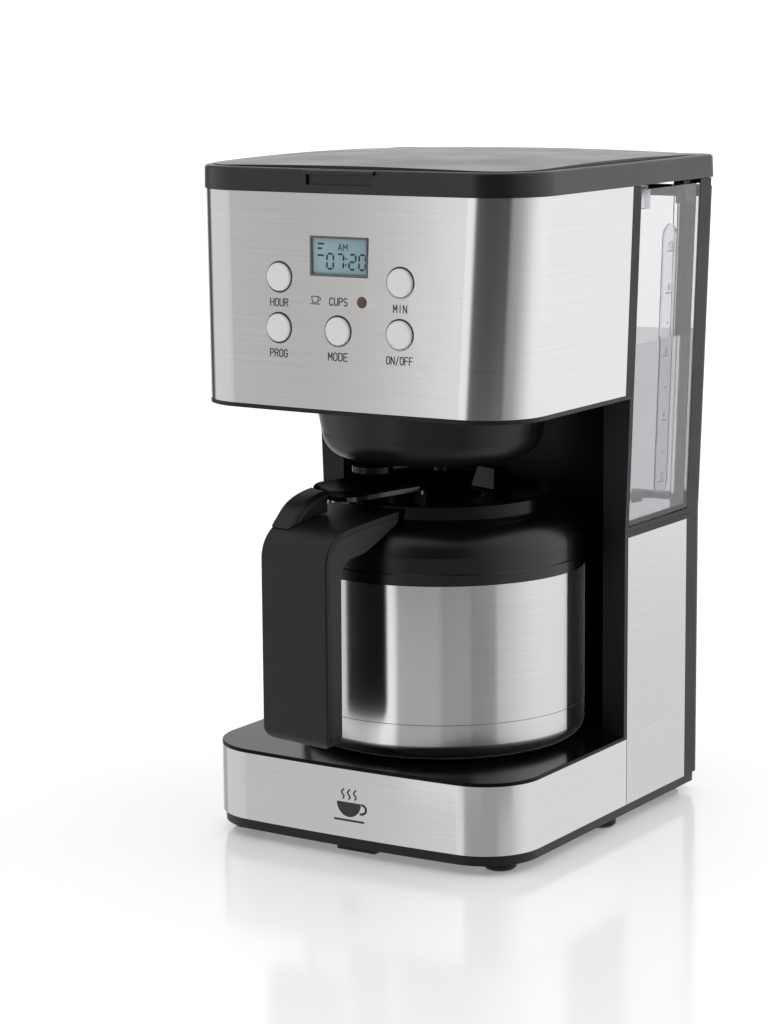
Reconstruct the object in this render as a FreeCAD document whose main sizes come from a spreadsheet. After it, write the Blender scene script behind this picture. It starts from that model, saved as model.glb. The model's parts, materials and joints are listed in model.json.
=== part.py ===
import FreeCAD, Part

import math
import os

import Sketcher

# Drip coffee maker with an insulated jug, modelled as separate pieces.
# Millimetres. X runs to the machine's right as you face it, Y from front to back, Z up from the table.
# The origin lies on the table under the middle of the machine.

doc = FreeCAD.newDocument("coffee_maker")
Vec = FreeCAD.Vector

# ---------------------------------------------------------------- driving dimensions
DIMENSIONS = [
    # plan outline of the base
    ("base_half_width", 92.7),
    ("base_front", -96.5),
    ("base_bow", 3.6),
    ("corner_radius", 31.3),
    ("machine_back", 117.2),
    ("rear_corner", 9.0),
    # heights above the table
    ("foot_height", 5.0),
    ("steel_bottom", 10.5),
    ("base_steel_top", 45.7),
    ("deck_top", 47.5),
    ("seam_height", 155.0),
    ("shelf_top", 158.0),
    ("head_floor_bottom", 225.3),
    ("head_steel_bottom", 227.5),
    ("lid_bottom", 333.8),
    ("lid_rim_top", 345.6),
    ("lid_crown_top", 349.0),
    # the upper half widens towards the lid and its front leans back
    ("top_half_width", 99.0),
    ("head_front_low", -97.4),
    ("head_front_high", -93.7),
    ("head_bow", 3.6),
    ("lid_overhang", 0.6),
    # wall thicknesses
    ("steel_sheet", 0.8),
    ("shell_wall", 2.2),
    ("thin_gap", 0.3),
    # the column behind the jug
    ("column_front", 26.0),
    ("base_wrap_end", 29.0),
    ("head_wrap_end", 20.8),
    ("panel_end", 96.5),
    ("scoop_radius", 85.0),
    # jug
    ("jug_axis", -3.0),
    ("jug_radius", 74.8),
    ("jug_bottom", 47.8),
    ("jug_band_top", 66.6),
    ("jug_steel_top", 138.0),
    ("collar_top", 168.2),
    ("lid_disc_radius", 57.5),
    ("lid_disc_top", 176.0),
    # jug handle
    ("handle_reach", 112.0),
    ("handle_width", 45.0),
    ("handle_depth", 10.0),
    ("handle_top", 172.6),
    ("handle_bottom", 59.5),
    ("handle_turn", 10.0),
    ("handle_bend", 17.0),
    # jug lid and its thumb lever
    ("lever_turn", 14.0),
    ("lever_pad_near", 24.0),
    ("lever_pad_far", 77.0),
    ("lever_pad_half", 24.0),
    ("lever_pad_top", 181.2),
    ("lever_pad_sheet", 2.2),
    # filter bowl
    ("bowl_axis", -12.0),
    ("bowl_radius", 60.5),
    ("bowl_bottom", 195.0),
    ("bowl_wall", 2.2),
    ("bowl_rim", 300.0),
    # drip stop
    ("valve_radius", 3.9),
    ("valve_tip", 185.4),
    ("valve_travel", 2.5),
    # controls
    ("panel_centre", -2.5),
    ("button_pitch", 35.4),
    ("button_row_high", 291.9),
    ("button_row_low", 266.7),
    ("button_radius", 7.0),
    ("button_gap", 0.45),
    ("button_proud", 1.5),
    ("button_travel", 1.2),
    ("display_width", 34.0),
    ("display_height", 19.6),
    ("display_centre", 303.1),
    ("display_frame", 1.1),
    ("lamp_across", 13.6),
    ("lamp_height", 281.4),
    ("lamp_radius", 2.7),
    ("board_front", -80.5),
    ("board_sheet", 1.6),
    # tank
    ("tank_front", 29.4),
    ("tank_side_back", 96.4),
    ("tank_back", 112.0),
    ("tank_bottom", 158.6),
    ("tank_rim", 331.4),
    ("tank_wall", 2.4),
    ("tank_bite", 90.4),
    ("groove_half", 6.2),
    ("groove_back", 98.4),
    ("post_inset", 13.0),
    # lid hinge
    ("hinge_back", 111.5),
    ("hinge_up", 335.6),
    ("hinge_pin_radius", 1.5),
    ("hinge_fit", 0.06),
    ("hinge_notch", 329.0),
]

sheet = doc.addObject("Spreadsheet::Sheet", "Dims")
for row, (alias, size) in enumerate(DIMENSIONS, start=1):
    sheet.set("A%d" % row, alias)
    sheet.set("B%d" % row, str(size))
    sheet.setAlias("B%d" % row, alias)
doc.recompute()


class Ex:
    """A length known both as a number and as the spreadsheet expression behind it."""

    def __init__(self, size, text):
        self.size = float(size)
        self.text = text

    def __add__(self, other):
        other = ex(other)
        return Ex(self.size + other.size, "(%s + %s)" % (self.text, other.text))

    def __radd__(self, other):
        return ex(other) + self

    def __sub__(self, other):
        other = ex(other)
        return Ex(self.size - other.size, "(%s - %s)" % (self.text, other.text))

    def __rsub__(self, other):
        return ex(other) - self

    def __mul__(self, other):
        other = ex(other)
        return Ex(self.size * other.size, "(%s * %s)" % (self.text, other.text))

    def __rmul__(self, other):
        return ex(other) * self

    def __truediv__(self, other):
        other = ex(other)
        return Ex(self.size / other.size, "(%s / %s)" % (self.text, other.text))

    def __neg__(self):
        return ex(0) - self


def ex(item):
    if isinstance(item, Ex):
        return item
    return Ex(item, "(%.6f)" % float(item))


def root(item):
    return Ex(math.sqrt(item.size), "sqrt(%s)" % item.text)


D = {}
for alias, size in DIMENSIONS:
    D[alias] = Ex(size, "Dims." + alias)

finished = []


def bind(obj, prop, item):
    obj.setExpression(prop, ex(item).text)


def place(obj, x, y, z, rotation=None):
    x, y, z = ex(x), ex(y), ex(z)
    turn = rotation if rotation is not None else FreeCAD.Rotation()
    obj.Placement = FreeCAD.Placement(Vec(x.size, y.size, z.size), turn)
    bind(obj, "Placement.Base.x", x)
    bind(obj, "Placement.Base.y", y)
    bind(obj, "Placement.Base.z", z)
    return obj


def finish(obj, label):
    """Name the last object of a piece and keep it for export."""
    obj.Label = label
    finished.append(obj)
    return obj


# ---------------------------------------------------------------- solid primitives
ALONG_X = FreeCAD.Rotation(Vec(0, 1, 0), 90)
ALONG_Y = FreeCAD.Rotation(Vec(1, 0, 0), -90)


def box(x0, x1, y0, y1, z0, z1):
    x0, x1, y0, y1, z0, z1 = ex(x0), ex(x1), ex(y0), ex(y1), ex(z0), ex(z1)
    obj = doc.addObject("Part::Box", "Block")
    bind(obj, "Length", x1 - x0)
    bind(obj, "Width", y1 - y0)
    bind(obj, "Height", z1 - z0)
    return place(obj, x0, y0, z0)


def rod(radius, z0, z1, x=0, y=0):
    z0, z1 = ex(z0), ex(z1)
    obj = doc.addObject("Part::Cylinder", "Rod")
    bind(obj, "Radius", radius)
    bind(obj, "Height", z1 - z0)
    return place(obj, x, y, z0)


def rod_x(radius, x0, x1, y, z):
    x0, x1 = ex(x0), ex(x1)
    obj = doc.addObject("Part::Cylinder", "RodX")
    bind(obj, "Radius", radius)
    bind(obj, "Height", x1 - x0)
    return place(obj, x0, y, z, ALONG_X)


def rod_y(radius, y0, y1, x, z):
    y0, y1 = ex(y0), ex(y1)
    obj = doc.addObject("Part::Cylinder", "RodY")
    bind(obj, "Radius", radius)
    bind(obj, "Height", y1 - y0)
    return place(obj, x, y0, z, ALONG_Y)


def cone(r0, r1, z0, z1, x=0, y=0):
    z0, z1 = ex(z0), ex(z1)
    obj = doc.addObject("Part::Cone", "Cone")
    bind(obj, "Radius1", r0)
    bind(obj, "Radius2", r1)
    bind(obj, "Height", z1 - z0)
    return place(obj, x, y, z0)


def fuse(*parts):
    if len(parts) == 1:
        return parts[0]
    obj = doc.addObject("Part::MultiFuse", "Joined")
    obj.Shapes = list(parts)
    obj.Refine = True
    return obj


def cut(base, *tools):
    tool = fuse(*tools)
    obj = doc.addObject("Part::Cut", "Cut")
    obj.Base = base
    obj.Tool = tool
    obj.Refine = True
    return obj


def common(*parts):
    obj = doc.addObject("Part::MultiCommon", "Shared")
    obj.Shapes = list(parts)
    obj.Refine = True
    return obj


def group(*parts):
    obj = doc.addObject("Part::Compound", "Group")
    obj.Links = list(parts)
    return obj


def round_edges(base, radius, wanted):
    """Fillet the edges of base whose centre and box satisfy wanted(edge)."""
    doc.recompute()
    picks = []
    for index, edge in enumerate(base.Shape.Edges, start=1):
        if wanted(edge):
            picks.append((index, ex(radius).size, ex(radius).size))
    obj = doc.addObject("Part::Fillet", "Rounded")
    obj.Base = base
    obj.Edges = picks
    return obj


def upright(edge):
    extent = edge.BoundBox
    return extent.XLength < 0.01 and extent.YLength < 0.01 and extent.ZLength > 0.5


# ---------------------------------------------------------------- sketches and bodies
def origin_plane(body, role):
    for item in body.Origin.OriginFeatures:
        if item.Role == role:
            return item
    raise RuntimeError("no plane " + role)


def make_body():
    return doc.addObject("PartDesign::Body", "Body")


def sketch_on(body, role, offset):
    sketch = doc.addObject("Sketcher::SketchObject", "Sketch")
    body.addObject(sketch)
    sketch.AttachmentSupport = [(origin_plane(body, role), "")]
    sketch.MapMode = "FlatFace"
    offset = ex(offset)
    sketch.AttachmentOffset = FreeCAD.Placement(Vec(0, 0, offset.size), FreeCAD.Rotation())
    sketch.setExpression("AttachmentOffset.Base.z", offset.text)
    return sketch


def draw(sketch, corners):
    """Closed outline. A corner is (x, y) or (x, y, radius, side): an arc arriving at that corner,
    side +1 turning left and -1 turning right."""
    points = [(ex(c[0]), ex(c[1])) for c in corners]
    count = len(points)
    ends = []
    for index in range(count):
        start = points[index]
        stop = points[(index + 1) % count]
        item = corners[(index + 1) % count]
        a = Vec(start[0].size, start[1].size, 0)
        b = Vec(stop[0].size, stop[1].size, 0)
        if len(item) == 2:
            geo = sketch.addGeometry(Part.LineSegment(a, b), False)
            ends.append((geo, 1, 2))
            continue
        radius = ex(item[2])
        chord = b - a
        half = chord.Length / 2.0
        rise = math.sqrt(max(radius.size ** 2 - half ** 2, 0.0))
        left = Vec(-chord.y, chord.x, 0).normalize()
        centre = (a + b) * 0.5 + left * rise * item[3]
        first, last = (a, b) if item[3] > 0 else (b, a)
        angle0 = math.atan2(first.y - centre.y, first.x - centre.x)
        angle1 = math.atan2(last.y - centre.y, last.x - centre.x)
        if angle1 < angle0:
            angle1 += 2.0 * math.pi
        circle = Part.Circle(centre, Vec(0, 0, 1), radius.size)
        geo = sketch.addGeometry(Part.ArcOfCircle(circle, angle0, angle1), False)
        ends.append((geo, 1, 2) if item[3] > 0 else (geo, 2, 1))
        number = sketch.addConstraint(Sketcher.Constraint("Radius", geo, radius.size))
        sketch.renameConstraint(number, "arc%d" % index)
        sketch.setExpression("Constraints.arc%d" % index, radius.text)
    for index in range(count):
        geo, entry, leave = ends[index]
        following = ends[(index + 1) % count]
        sketch.addConstraint(Sketcher.Constraint("Coincident", geo, leave, following[0], following[1]))
    for index in range(count):
        geo, entry, leave = ends[index]
        for kind, item in (("DistanceX", points[index][0]), ("DistanceY", points[index][1])):
            number = sketch.addConstraint(Sketcher.Constraint(kind, -1, 1, geo, entry, item.size))
            name = "%s%d" % ("across" if kind == "DistanceX" else "along", index)
            sketch.renameConstraint(number, name)
            sketch.setExpression("Constraints." + name, item.text)
    return sketch


def bowed(half, front, back, corner, bow, rear=None):
    """Corners of a plan outline with a gently bowed front between two large corner radii."""
    half, front, back, corner, bow = ex(half), ex(front), ex(back), ex(corner), ex(bow)
    big = (half * half + bow * bow) / (2 * bow)
    reach = half - corner
    span = big - corner
    drop = root(span * span - reach * reach)
    side_y = front + big - drop
    tip_x = big * reach / span
    tip_y = front + big - big * drop / span
    corners = [(tip_x, tip_y, big, 1), (half, side_y, corner, 1)]
    if rear is None:
        corners += [(half, back), (-half, back)]
    else:
        rear = ex(rear)
        corners += [(half, back - rear), (half - rear, back, rear, 1)]
        corners += [(rear - half, back), (-half, back - rear, rear, 1)]
    corners += [(-half, side_y), (-tip_x, tip_y, corner, 1)]
    return corners


def prism(corners, z0, z1):
    """Upright pad of a plan outline."""
    z0, z1 = ex(z0), ex(z1)
    body = make_body()
    sketch = draw(sketch_on(body, "XY_Plane", z0), corners)
    pad = doc.addObject("PartDesign::Pad", "Pad")
    body.addObject(pad)
    pad.Profile = sketch
    pad.setExpression("Length", (z1 - z0).text)
    body.Tip = pad
    return body


def tapered(low, z0, high, z1):
    """Upright loft between two plan outlines."""
    body = make_body()
    first = draw(sketch_on(body, "XY_Plane", z0), low)
    second = draw(sketch_on(body, "XY_Plane", z1), high)
    loft = doc.addObject("PartDesign::AdditiveLoft", "Loft")
    body.addObject(loft)
    loft.Profile = first
    loft.Sections = [second]
    loft.Ruled = True
    body.Tip = loft
    return body


def turned(corners, y, x=0):
    """Revolve a radius/height outline about an upright axis."""
    body = make_body()
    sketch = draw(sketch_on(body, "XZ_Plane", 0), corners)
    spin = doc.addObject("PartDesign::Revolution", "Revolve")
    body.addObject(spin)
    spin.Profile = sketch
    spin.ReferenceAxis = (sketch, ["V_Axis"])
    spin.Angle = 360.0
    body.Tip = spin
    return place(body, x, y, 0)


def side_profile(corners, half):
    """Pad a (y, z) outline symmetrically across X."""
    body = make_body()
    sketch = draw(sketch_on(body, "YZ_Plane", 0), corners)
    pad = doc.addObject("PartDesign::Pad", "Pad")
    body.addObject(pad)
    pad.Profile = sketch
    pad.Midplane = True
    pad.setExpression("Length", (ex(half) * 2).text)
    body.Tip = pad
    return body


# ---------------------------------------------------------------- shared shapes of the machine
GAP = D["thin_gap"]
SHEET = D["steel_sheet"]
WALL = D["shell_wall"]
BACK = D["machine_back"]
JUG_Y = D["jug_axis"]


def half_at(z):
    rise = D["lid_bottom"] - D["seam_height"]
    spread = D["top_half_width"] - D["base_half_width"]
    return D["base_half_width"] + (ex(z) - D["seam_height"]) * spread / rise


def front_at(z):
    rise = D["lid_bottom"] - D["head_steel_bottom"]
    lean = D["head_front_high"] - D["head_front_low"]
    return D["head_front_low"] + (ex(z) - D["head_steel_bottom"]) * lean / rise


def face_at(x, z):
    """Y of the head's steel front at a point of the control panel."""
    x = ex(x)
    half = half_at(z)
    return front_at(z) + D["head_bow"] * x * x / (half * half)


def base_outline(inset, back, rear=None):
    inset = ex(inset)
    rear_inset = None if rear is None else ex(rear) - inset
    return bowed(D["base_half_width"] - inset, D["base_front"] + inset, back,
                 D["corner_radius"] - inset, D["base_bow"], rear_inset)


def head_outline(z, inset, back):
    inset = ex(inset)
    return bowed(half_at(z) - inset, front_at(z) + inset, back, D["corner_radius"] - inset, D["head_bow"])


def column_outline(z, inset, front):
    half = half_at(z) - inset
    back = BACK - inset
    rear = D["rear_corner"] - inset
    return [(half, front), (half, back - rear), (half - rear, back, rear, 1),
            (rear - half, back), (-half, back - rear, rear, 1), (-half, front)]


def scoop(radius, z0, z1):
    return rod(radius, z0, z1, 0, JUG_Y)


# ---------------------------------------------------------------- base
LOW = D["steel_bottom"]
outer = prism(base_outline(0, D["base_wrap_end"]), LOW, D["base_steel_top"])
inner = prism(base_outline(SHEET, D["base_wrap_end"] + 5), LOW - 1, D["base_steel_top"] + 1)
finish(cut(outer, inner), "base_steel_wrap")

outer = prism(base_outline(SHEET + GAP, D["column_front"] - 0.2), LOW, D["base_steel_top"])
inner = prism(base_outline(SHEET + GAP + WALL, D["column_front"] + 5), LOW - 1, D["base_steel_top"] + 1)
finish(cut(outer, inner), "base_inner_wall")

deck = prism(base_outline(0, D["column_front"] - 0.1), D["base_steel_top"] + 0.1, D["deck_top"])
deck_height = D["deck_top"].size


def deck_rim(edge):
    extent = edge.BoundBox
    flat = extent.ZLength < 0.01 and abs(extent.ZMax - deck_height) < 0.01
    return flat and extent.YMin < 20.0


finish(round_edges(deck, 0.7, deck_rim), "deck")

pan = prism(base_outline(1.6, BACK - 1.6, D["rear_corner"]), D["foot_height"], LOW - 0.1)
tray = prism(base_outline(4.4, BACK - 4.4, D["rear_corner"]), D["foot_height"] + 2.4, LOW + 1)
SCREW_SPOTS = [(-58, -62), (58, -62), (-66, 40), (66, 40), (-60, 96), (40, 96)]
bosses = []
bores = []
screws = []
for x, y in SCREW_SPOTS:
    bosses.append(rod(5.5, D["foot_height"] + 1, 16, x, y))
    bores.append(rod(4.0, D["foot_height"] - 1, D["foot_height"] + 2, x, y))
    bores.append(rod(1.75, D["foot_height"] - 1, 17, x, y))
    head = rod(3.6, D["foot_height"] + 0.3, D["foot_height"] + 1.9, x, y)
    slot = box(ex(x) - 3, ex(x) + 3, ex(y) - 0.4, ex(y) + 0.4, D["foot_height"], D["foot_height"] + 1.0)
    cross = box(ex(x) - 0.4, ex(x) + 0.4, ex(y) - 3, ex(y) + 3, D["foot_height"], D["foot_height"] + 1.0)
    shank = rod(1.6, D["foot_height"] + 1.8, 15, x, y)
    screws.append(cut(fuse(head, shank), slot, cross))
finish(cut(fuse(cut(pan, tray), *bosses), *bores), "bottom_pan")
finish(group(*screws), "bottom_screws")

FOOT_SPOTS = [(-77, -72), (75, -72), (-81, 22), (81, 22), (-76, 104), (76, 104)]
feet = []
for x, y in FOOT_SPOTS:
    feet.append(fuse(cone(7.2, 8.4, 0, 1.2, x, y), rod(8.4, 1.2, D["foot_height"] - 0.05, x, y)))
finish(group(*feet), "rubber_feet")

finish(box(-8, 14.6, -93.3, -80, 2.8, D["foot_height"] - 0.05), "front_rest_block")

# ---------------------------------------------------------------- lower column behind the jug
SEAM = D["seam_height"]
DECK = D["deck_top"]
COLUMN = D["column_front"]
column = prism(column_outline(SEAM, 0, COLUMN), LOW, SEAM)
cavity_low = prism(column_outline(SEAM, 3.4, COLUMN + 3), LOW - 1, DECK - 2.4)
cavity_high = cut(prism(column_outline(SEAM, 3.4, COLUMN + 3), DECK - 2.5, SEAM - 2.4),
                  scoop(D["scoop_radius"] + WALL, DECK - 3, SEAM))
front_port = box(-78, 78, COLUMN - 1, COLUMN + 4, LOW + 2, DECK - 4)
recess_right = box(D["base_half_width"] - 0.95, D["base_half_width"] + 1, D["base_wrap_end"] - 0.1,
                   D["panel_end"] + 0.1, LOW - 1, SEAM - 2.3)
recess_left = box(-D["base_half_width"] - 1, 0.95 - D["base_half_width"], D["base_wrap_end"] - 0.1,
                  D["panel_end"] + 0.1, LOW - 1, SEAM - 2.3)
wrap_seat_right = box(D["base_half_width"] - 0.95, D["base_half_width"] + 1, COLUMN - 1,
                      D["base_wrap_end"] + 0.1, LOW - 1, DECK - 1.7)
wrap_seat_left = box(-D["base_half_width"] - 1, 0.95 - D["base_half_width"], COLUMN - 1,
                     D["base_wrap_end"] + 0.1, LOW - 1, DECK - 1.7)
GLAND_X = 58
GLAND_Z = 25
gland_hole = rod_y(5.2, BACK - 6, BACK + 1, GLAND_X, GLAND_Z)
riser_hole = rod(4.4, SEAM - 4, SEAM + 1, 0, 92.5)
outlet_hole = rod(7.4, SEAM - 4, SEAM + 1, 35, 104)
finish(cut(column, scoop(D["scoop_radius"], DECK, SEAM + 1), cavity_low, cavity_high, front_port,
           recess_right, recess_left, wrap_seat_right, wrap_seat_left, gland_hole, riser_hole, outlet_hole),
       "column_housing")

PANEL_FRONT = D["base_wrap_end"] + 0.5
finish(box(D["base_half_width"] - 0.85, D["base_half_width"], PANEL_FRONT, D["panel_end"], LOW, SEAM - 2.6),
       "right_side_panel")
finish(box(-D["base_half_width"], 0.85 - D["base_half_width"], PANEL_FRONT, D["panel_end"], LOW,
           SEAM - 2.6),
       "left_side_panel")

gland = fuse(rod_y(5.0, BACK - 5.6, BACK - 0.6, GLAND_X, GLAND_Z),
             rod_y(7.0, BACK - 5.6, BACK - 3.5, GLAND_X, GLAND_Z))
finish(cut(gland, rod_y(3.1, BACK - 7, BACK + 1, GLAND_X, GLAND_Z)), "cord_inlet_gland")

# ---------------------------------------------------------------- upper frame round the tank
TANK_LOW = D["tank_bottom"]
TANK_TOP = D["tank_rim"]


def tank_outline(z, inset):
    """Wide between the posts, narrower between the rear posts."""
    inset = ex(inset)
    half = half_at(z) - inset
    slim = half_at(z) - D["post_inset"] - inset
    front = D["tank_front"] + inset
    side_back = D["tank_side_back"] - inset
    back = D["tank_back"] - inset
    return [(half, front), (half, side_back), (slim, side_back), (slim, back),
            (-slim, back), (-slim, side_back), (-half, side_back), (-half, front)]


LIDZ = D["lid_bottom"]
FRAME_LOW = SEAM + 0.15
frame = tapered(column_outline(FRAME_LOW, 0, COLUMN), FRAME_LOW, column_outline(LIDZ - 0.3, 0, COLUMN),
                LIDZ - 0.3)


def tank_room(z):
    half = half_at(z) + 2
    slim = half_at(z) - D["post_inset"] + GAP
    front = D["tank_front"] - GAP
    side_back = D["tank_side_back"] + GAP
    back = D["tank_back"] + GAP
    return [(half, front), (half, side_back), (slim, side_back), (slim, back),
            (-slim, back), (-slim, side_back), (-half, side_back), (-half, front)]


room = cut(tapered(tank_room(D["shelf_top"]), D["shelf_top"], tank_room(LIDZ + 1), LIDZ + 1),
           scoop(D["scoop_radius"] + WALL, SEAM, LIDZ + 2))
notch = box(-100, 100, D["hinge_back"] - 2.2, BACK + 1, D["hinge_notch"], LIDZ + 1)
spout_slot = box(-6.2, 6.2, 70, 99, 315.5, LIDZ + 1)
HINGE_Y = D["hinge_back"]
HINGE_Z = D["hinge_up"]


def rear_window(z):
    """The tank shows through the rear wall, held by a narrow lip all round."""
    half = half_at(z) - D["post_inset"] - 1.5
    return [(half, D["tank_back"] - 1), (half, BACK + 1), (-half, BACK + 1), (-half, D["tank_back"] - 1)]


WINDOW_LOW = ex(163.0)
WINDOW_TOP = ex(323.0)
back_window = tapered(rear_window(WINDOW_LOW), WINDOW_LOW, rear_window(WINDOW_TOP), WINDOW_TOP)
PIN = D["hinge_pin_radius"]
lugs = []
for side in (-1, 1):
    near = 50 if side > 0 else -61.5
    far = 61.5 if side > 0 else -50
    barrel = rod_x(3.1, near, far, HINGE_Y, HINGE_Z)
    stalk = box(near, far, D["tank_back"] + GAP, HINGE_Y + 3.0, D["hinge_notch"] - 2, HINGE_Z)
    lugs.append(cut(fuse(barrel, stalk), rod_x(PIN + 0.01, ex(near) - 1, ex(far) + 1, HINGE_Y, HINGE_Z)))
frame_shell = cut(frame, scoop(D["scoop_radius"], SEAM - 1, LIDZ + 1), room, notch, spout_slot, back_window,
                  rod(4.4, SEAM - 1, 160, 0, 92.5), rod(6.4, SEAM - 1, 160, 35, 104))
finish(fuse(frame_shell, *lugs), "upper_frame")

TW = D["tank_wall"]
GROOVE = D["groove_half"]
GROOVE_BACK = D["groove_back"]
# a groove down the tank's front clears the riser and the spout, so the tank can be lifted out
tank_solid = cut(tapered(tank_outline(TANK_LOW, 0.05), TANK_LOW, tank_outline(TANK_TOP, 0.05), TANK_TOP),
                 scoop(D["tank_bite"], TANK_LOW - 1, TANK_TOP + 1),
                 box(-GROOVE, GROOVE, 80, GROOVE_BACK, TANK_LOW - 1, TANK_TOP + 1),
                 box(-95, 95, D["tank_back"] - 3, D["tank_back"] + 1, D["hinge_notch"] - 0.2, TANK_TOP + 1))
tank_hollow = cut(tapered(tank_outline(TANK_LOW + TW, TW), TANK_LOW + TW,
                          tank_outline(TANK_TOP + 1, TW), TANK_TOP + 1),
                  scoop(D["tank_bite"] + TW, TANK_LOW - 1, TANK_TOP + 2),
                  box(-GROOVE - TW, GROOVE + TW, 80, GROOVE_BACK + TW, TANK_LOW, TANK_TOP + 2))
tank_stub = rod(6.0, 151.5, TANK_LOW + 1, 35, 104)
tank_bore = rod(4.2, 150, TANK_LOW + TW + 1, 35, 104)
finish(cut(fuse(cut(tank_solid, tank_hollow), tank_stub), tank_bore), "water_tank")

def slot_bar(y0, y1, low, high, thick):
    """Upright bar with round ends, lying in the YZ plane about its own middle."""
    radius = ex(y1 - y0) * 0.5004
    body = make_body()
    corners = [(y0, low), (y0, high), (y1, high, radius, -1), (y1, low), (y0, low, radius, -1)]
    sketch = draw(sketch_on(body, "YZ_Plane", 0), corners[1:])
    pad = doc.addObject("PartDesign::Pad", "Pad")
    body.addObject(pad)
    pad.Profile = sketch
    pad.setExpression("Length", ex(thick).text)
    body.Tip = pad
    return body


gauge_middle = 241.0
gauge_tilt = math.degrees(math.atan((D["top_half_width"].size - D["base_half_width"].size)
                                    / (LIDZ.size - SEAM.size)))
gauge = slot_bar(60.5, 74.0, -64.5, 64.5, 1.5)
place(gauge, half_at(gauge_middle) - TW - 1.9, 0, gauge_middle, FreeCAD.Rotation(Vec(0, 1, 0), gauge_tilt))
finish(gauge, "level_gauge")

grips = []
for side in (-1, 1):
    for near, far in ((31.9, 42.5), (83.0, 93.9)):
        edge_x = half_at(TANK_TOP) - TW - 0.6
        low_x = edge_x - 6 if side > 0 else -edge_x
        high_x = edge_x if side > 0 else 6 - edge_x
        grips.append(box(low_x, high_x, near, far, TANK_TOP - 10, TANK_TOP + 1.4))
grip_cut = scoop(D["tank_bite"] + TW + 0.2, 300, 340)
finish(cut(group(*grips), grip_cut), "tank_lugs")

valve_body = fuse(rod(5.4, TANK_LOW + TW + 0.1, 164, 35, 104), rod(3.9, 153, TANK_LOW + TW + 0.1, 35, 104))
finish(cut(valve_body, rod(2.2, 152, 165, 35, 104)), "tank_check_valve")
finish(cut(rod(7.2, 151.6, 154.0, 35, 104), rod(6.05, 151, 155, 35, 104)), "tank_outlet_seal")

# ---------------------------------------------------------------- water path and heater
hose = fuse(rod(5.0, 28, 150.8, 35, 104), rod_y(5.0, 52, 104, 35, 28))
hose_elbow = doc.addObject("Part::Sphere", "Elbow")
bind(hose_elbow, "Radius", 5.0)
place(hose_elbow, 35, 104, 28)
hose_bore = fuse(rod(3.2, 28, 152, 35, 104), rod_y(3.2, 50, 104, 35, 28))
finish(cut(fuse(hose, hose_elbow), hose_bore, rod(6.2, 151.2, 156, 35, 104)), "cold_water_hose")

riser = fuse(rod(3.8, 28, 317.5, 0, 92.5), rod_y(3.8, 52, 92.5, 0, 28))
riser_elbow = doc.addObject("Part::Sphere", "Elbow")
bind(riser_elbow, "Radius", 3.8)
place(riser_elbow, 0, 92.5, 28)
riser_bore = fuse(rod(2.4, 28, 319, 0, 92.5), rod_y(2.4, 50, 92.5, 0, 28))
finish(cut(fuse(riser, riser_elbow), riser_bore), "hot_water_riser")

legs = [rod_y(6.5, -22, 51.8, 0, 28), rod_y(6.5, -22, 51.8, 35, 28)]
bend = doc.addObject("Part::Torus", "Bend")
bind(bend, "Radius1", 17.5)
bind(bend, "Radius2", 6.5)
place(bend, 17.5, -22, 28)
bend_half = common(bend, box(-20, 60, -60, -22, 10, 46))
heater_core = fuse(legs[0], legs[1], bend_half)
finish(heater_core, "heater_tube")

clips = []
for y in (-10, 34):
    saddle = box(-9, 44, ex(y) - 4, ex(y) + 4, D["foot_height"] + 2.5, 21.3)
    clips.append(saddle)
finish(group(*clips), "heater_supports")
finish(fuse(box(10, 25, -4, 22, 22.5, 33), rod(7, 33, 36, 17.5, 9)), "thermostat")
finish(group(rod_y(1.9, 6, 30, 4, 36.9), rod_y(1.9, 6, 30, 31, 36.9)), "thermal_fuses")
spout_pipe = fuse(rod_y(5.6, -18.5, 98, 0, 322.8), rod(5.0, 316.2, 322, 0, -12),
                  rod(5.3, 316.2, 322, 0, 92.5))
spout_bore = fuse(rod_y(3.6, -16.5, 96, 0, 322.8), rod(3.2, 315, 322, 0, -12), rod(3.95, 315, 321, 0, 92.5))
finish(cut(spout_pipe, spout_bore), "brew_spout")

# ---------------------------------------------------------------- head
HEAD_LOW = D["head_steel_bottom"]
TRIM_LOW = D["head_floor_bottom"]
HEAD_TOP = LIDZ - 0.2
WRAP_END = D["head_wrap_end"]
BOWL_Y = D["bowl_axis"]
PC = D["panel_centre"]
HIGH = D["button_row_high"]
ROW = D["button_row_low"]
PITCH = D["button_pitch"]
BUTTONS = [("hour_button", PC - PITCH, HIGH), ("minute_button", PC + PITCH, HIGH),
           ("program_button", PC - PITCH, ROW), ("mode_button", PC, ROW), ("power_button", PC + PITCH, ROW)]
LAMP_X = PC + D["lamp_across"]
LAMP_Z = D["lamp_height"]
SHOW_Z = D["display_centre"]
SHOW_W = D["display_width"] / 2
SHOW_H = D["display_height"] / 2


def panel_holes(extra):
    holes = [rod_y(D["button_radius"] + D["button_gap"] + extra, -110, -84, x, z) for name, x, z in BUTTONS]
    holes.append(rod_y(D["lamp_radius"] + 0.15 + extra, -110, -84, LAMP_X, LAMP_Z))
    holes.append(box(PC - SHOW_W - extra, PC + SHOW_W + extra, -110, -84, SHOW_Z - SHOW_H - extra,
                     SHOW_Z + SHOW_H + extra))
    return holes


outer = tapered(head_outline(HEAD_LOW, 0, WRAP_END), HEAD_LOW, head_outline(HEAD_TOP, 0, WRAP_END),
                HEAD_TOP)
inner = tapered(head_outline(HEAD_LOW - 1, SHEET, WRAP_END + 5), HEAD_LOW - 1,
                head_outline(HEAD_TOP + 1, SHEET, WRAP_END + 5), HEAD_TOP + 1)
finish(cut(outer, inner, *panel_holes(0)), "head_steel_wrap")

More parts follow.
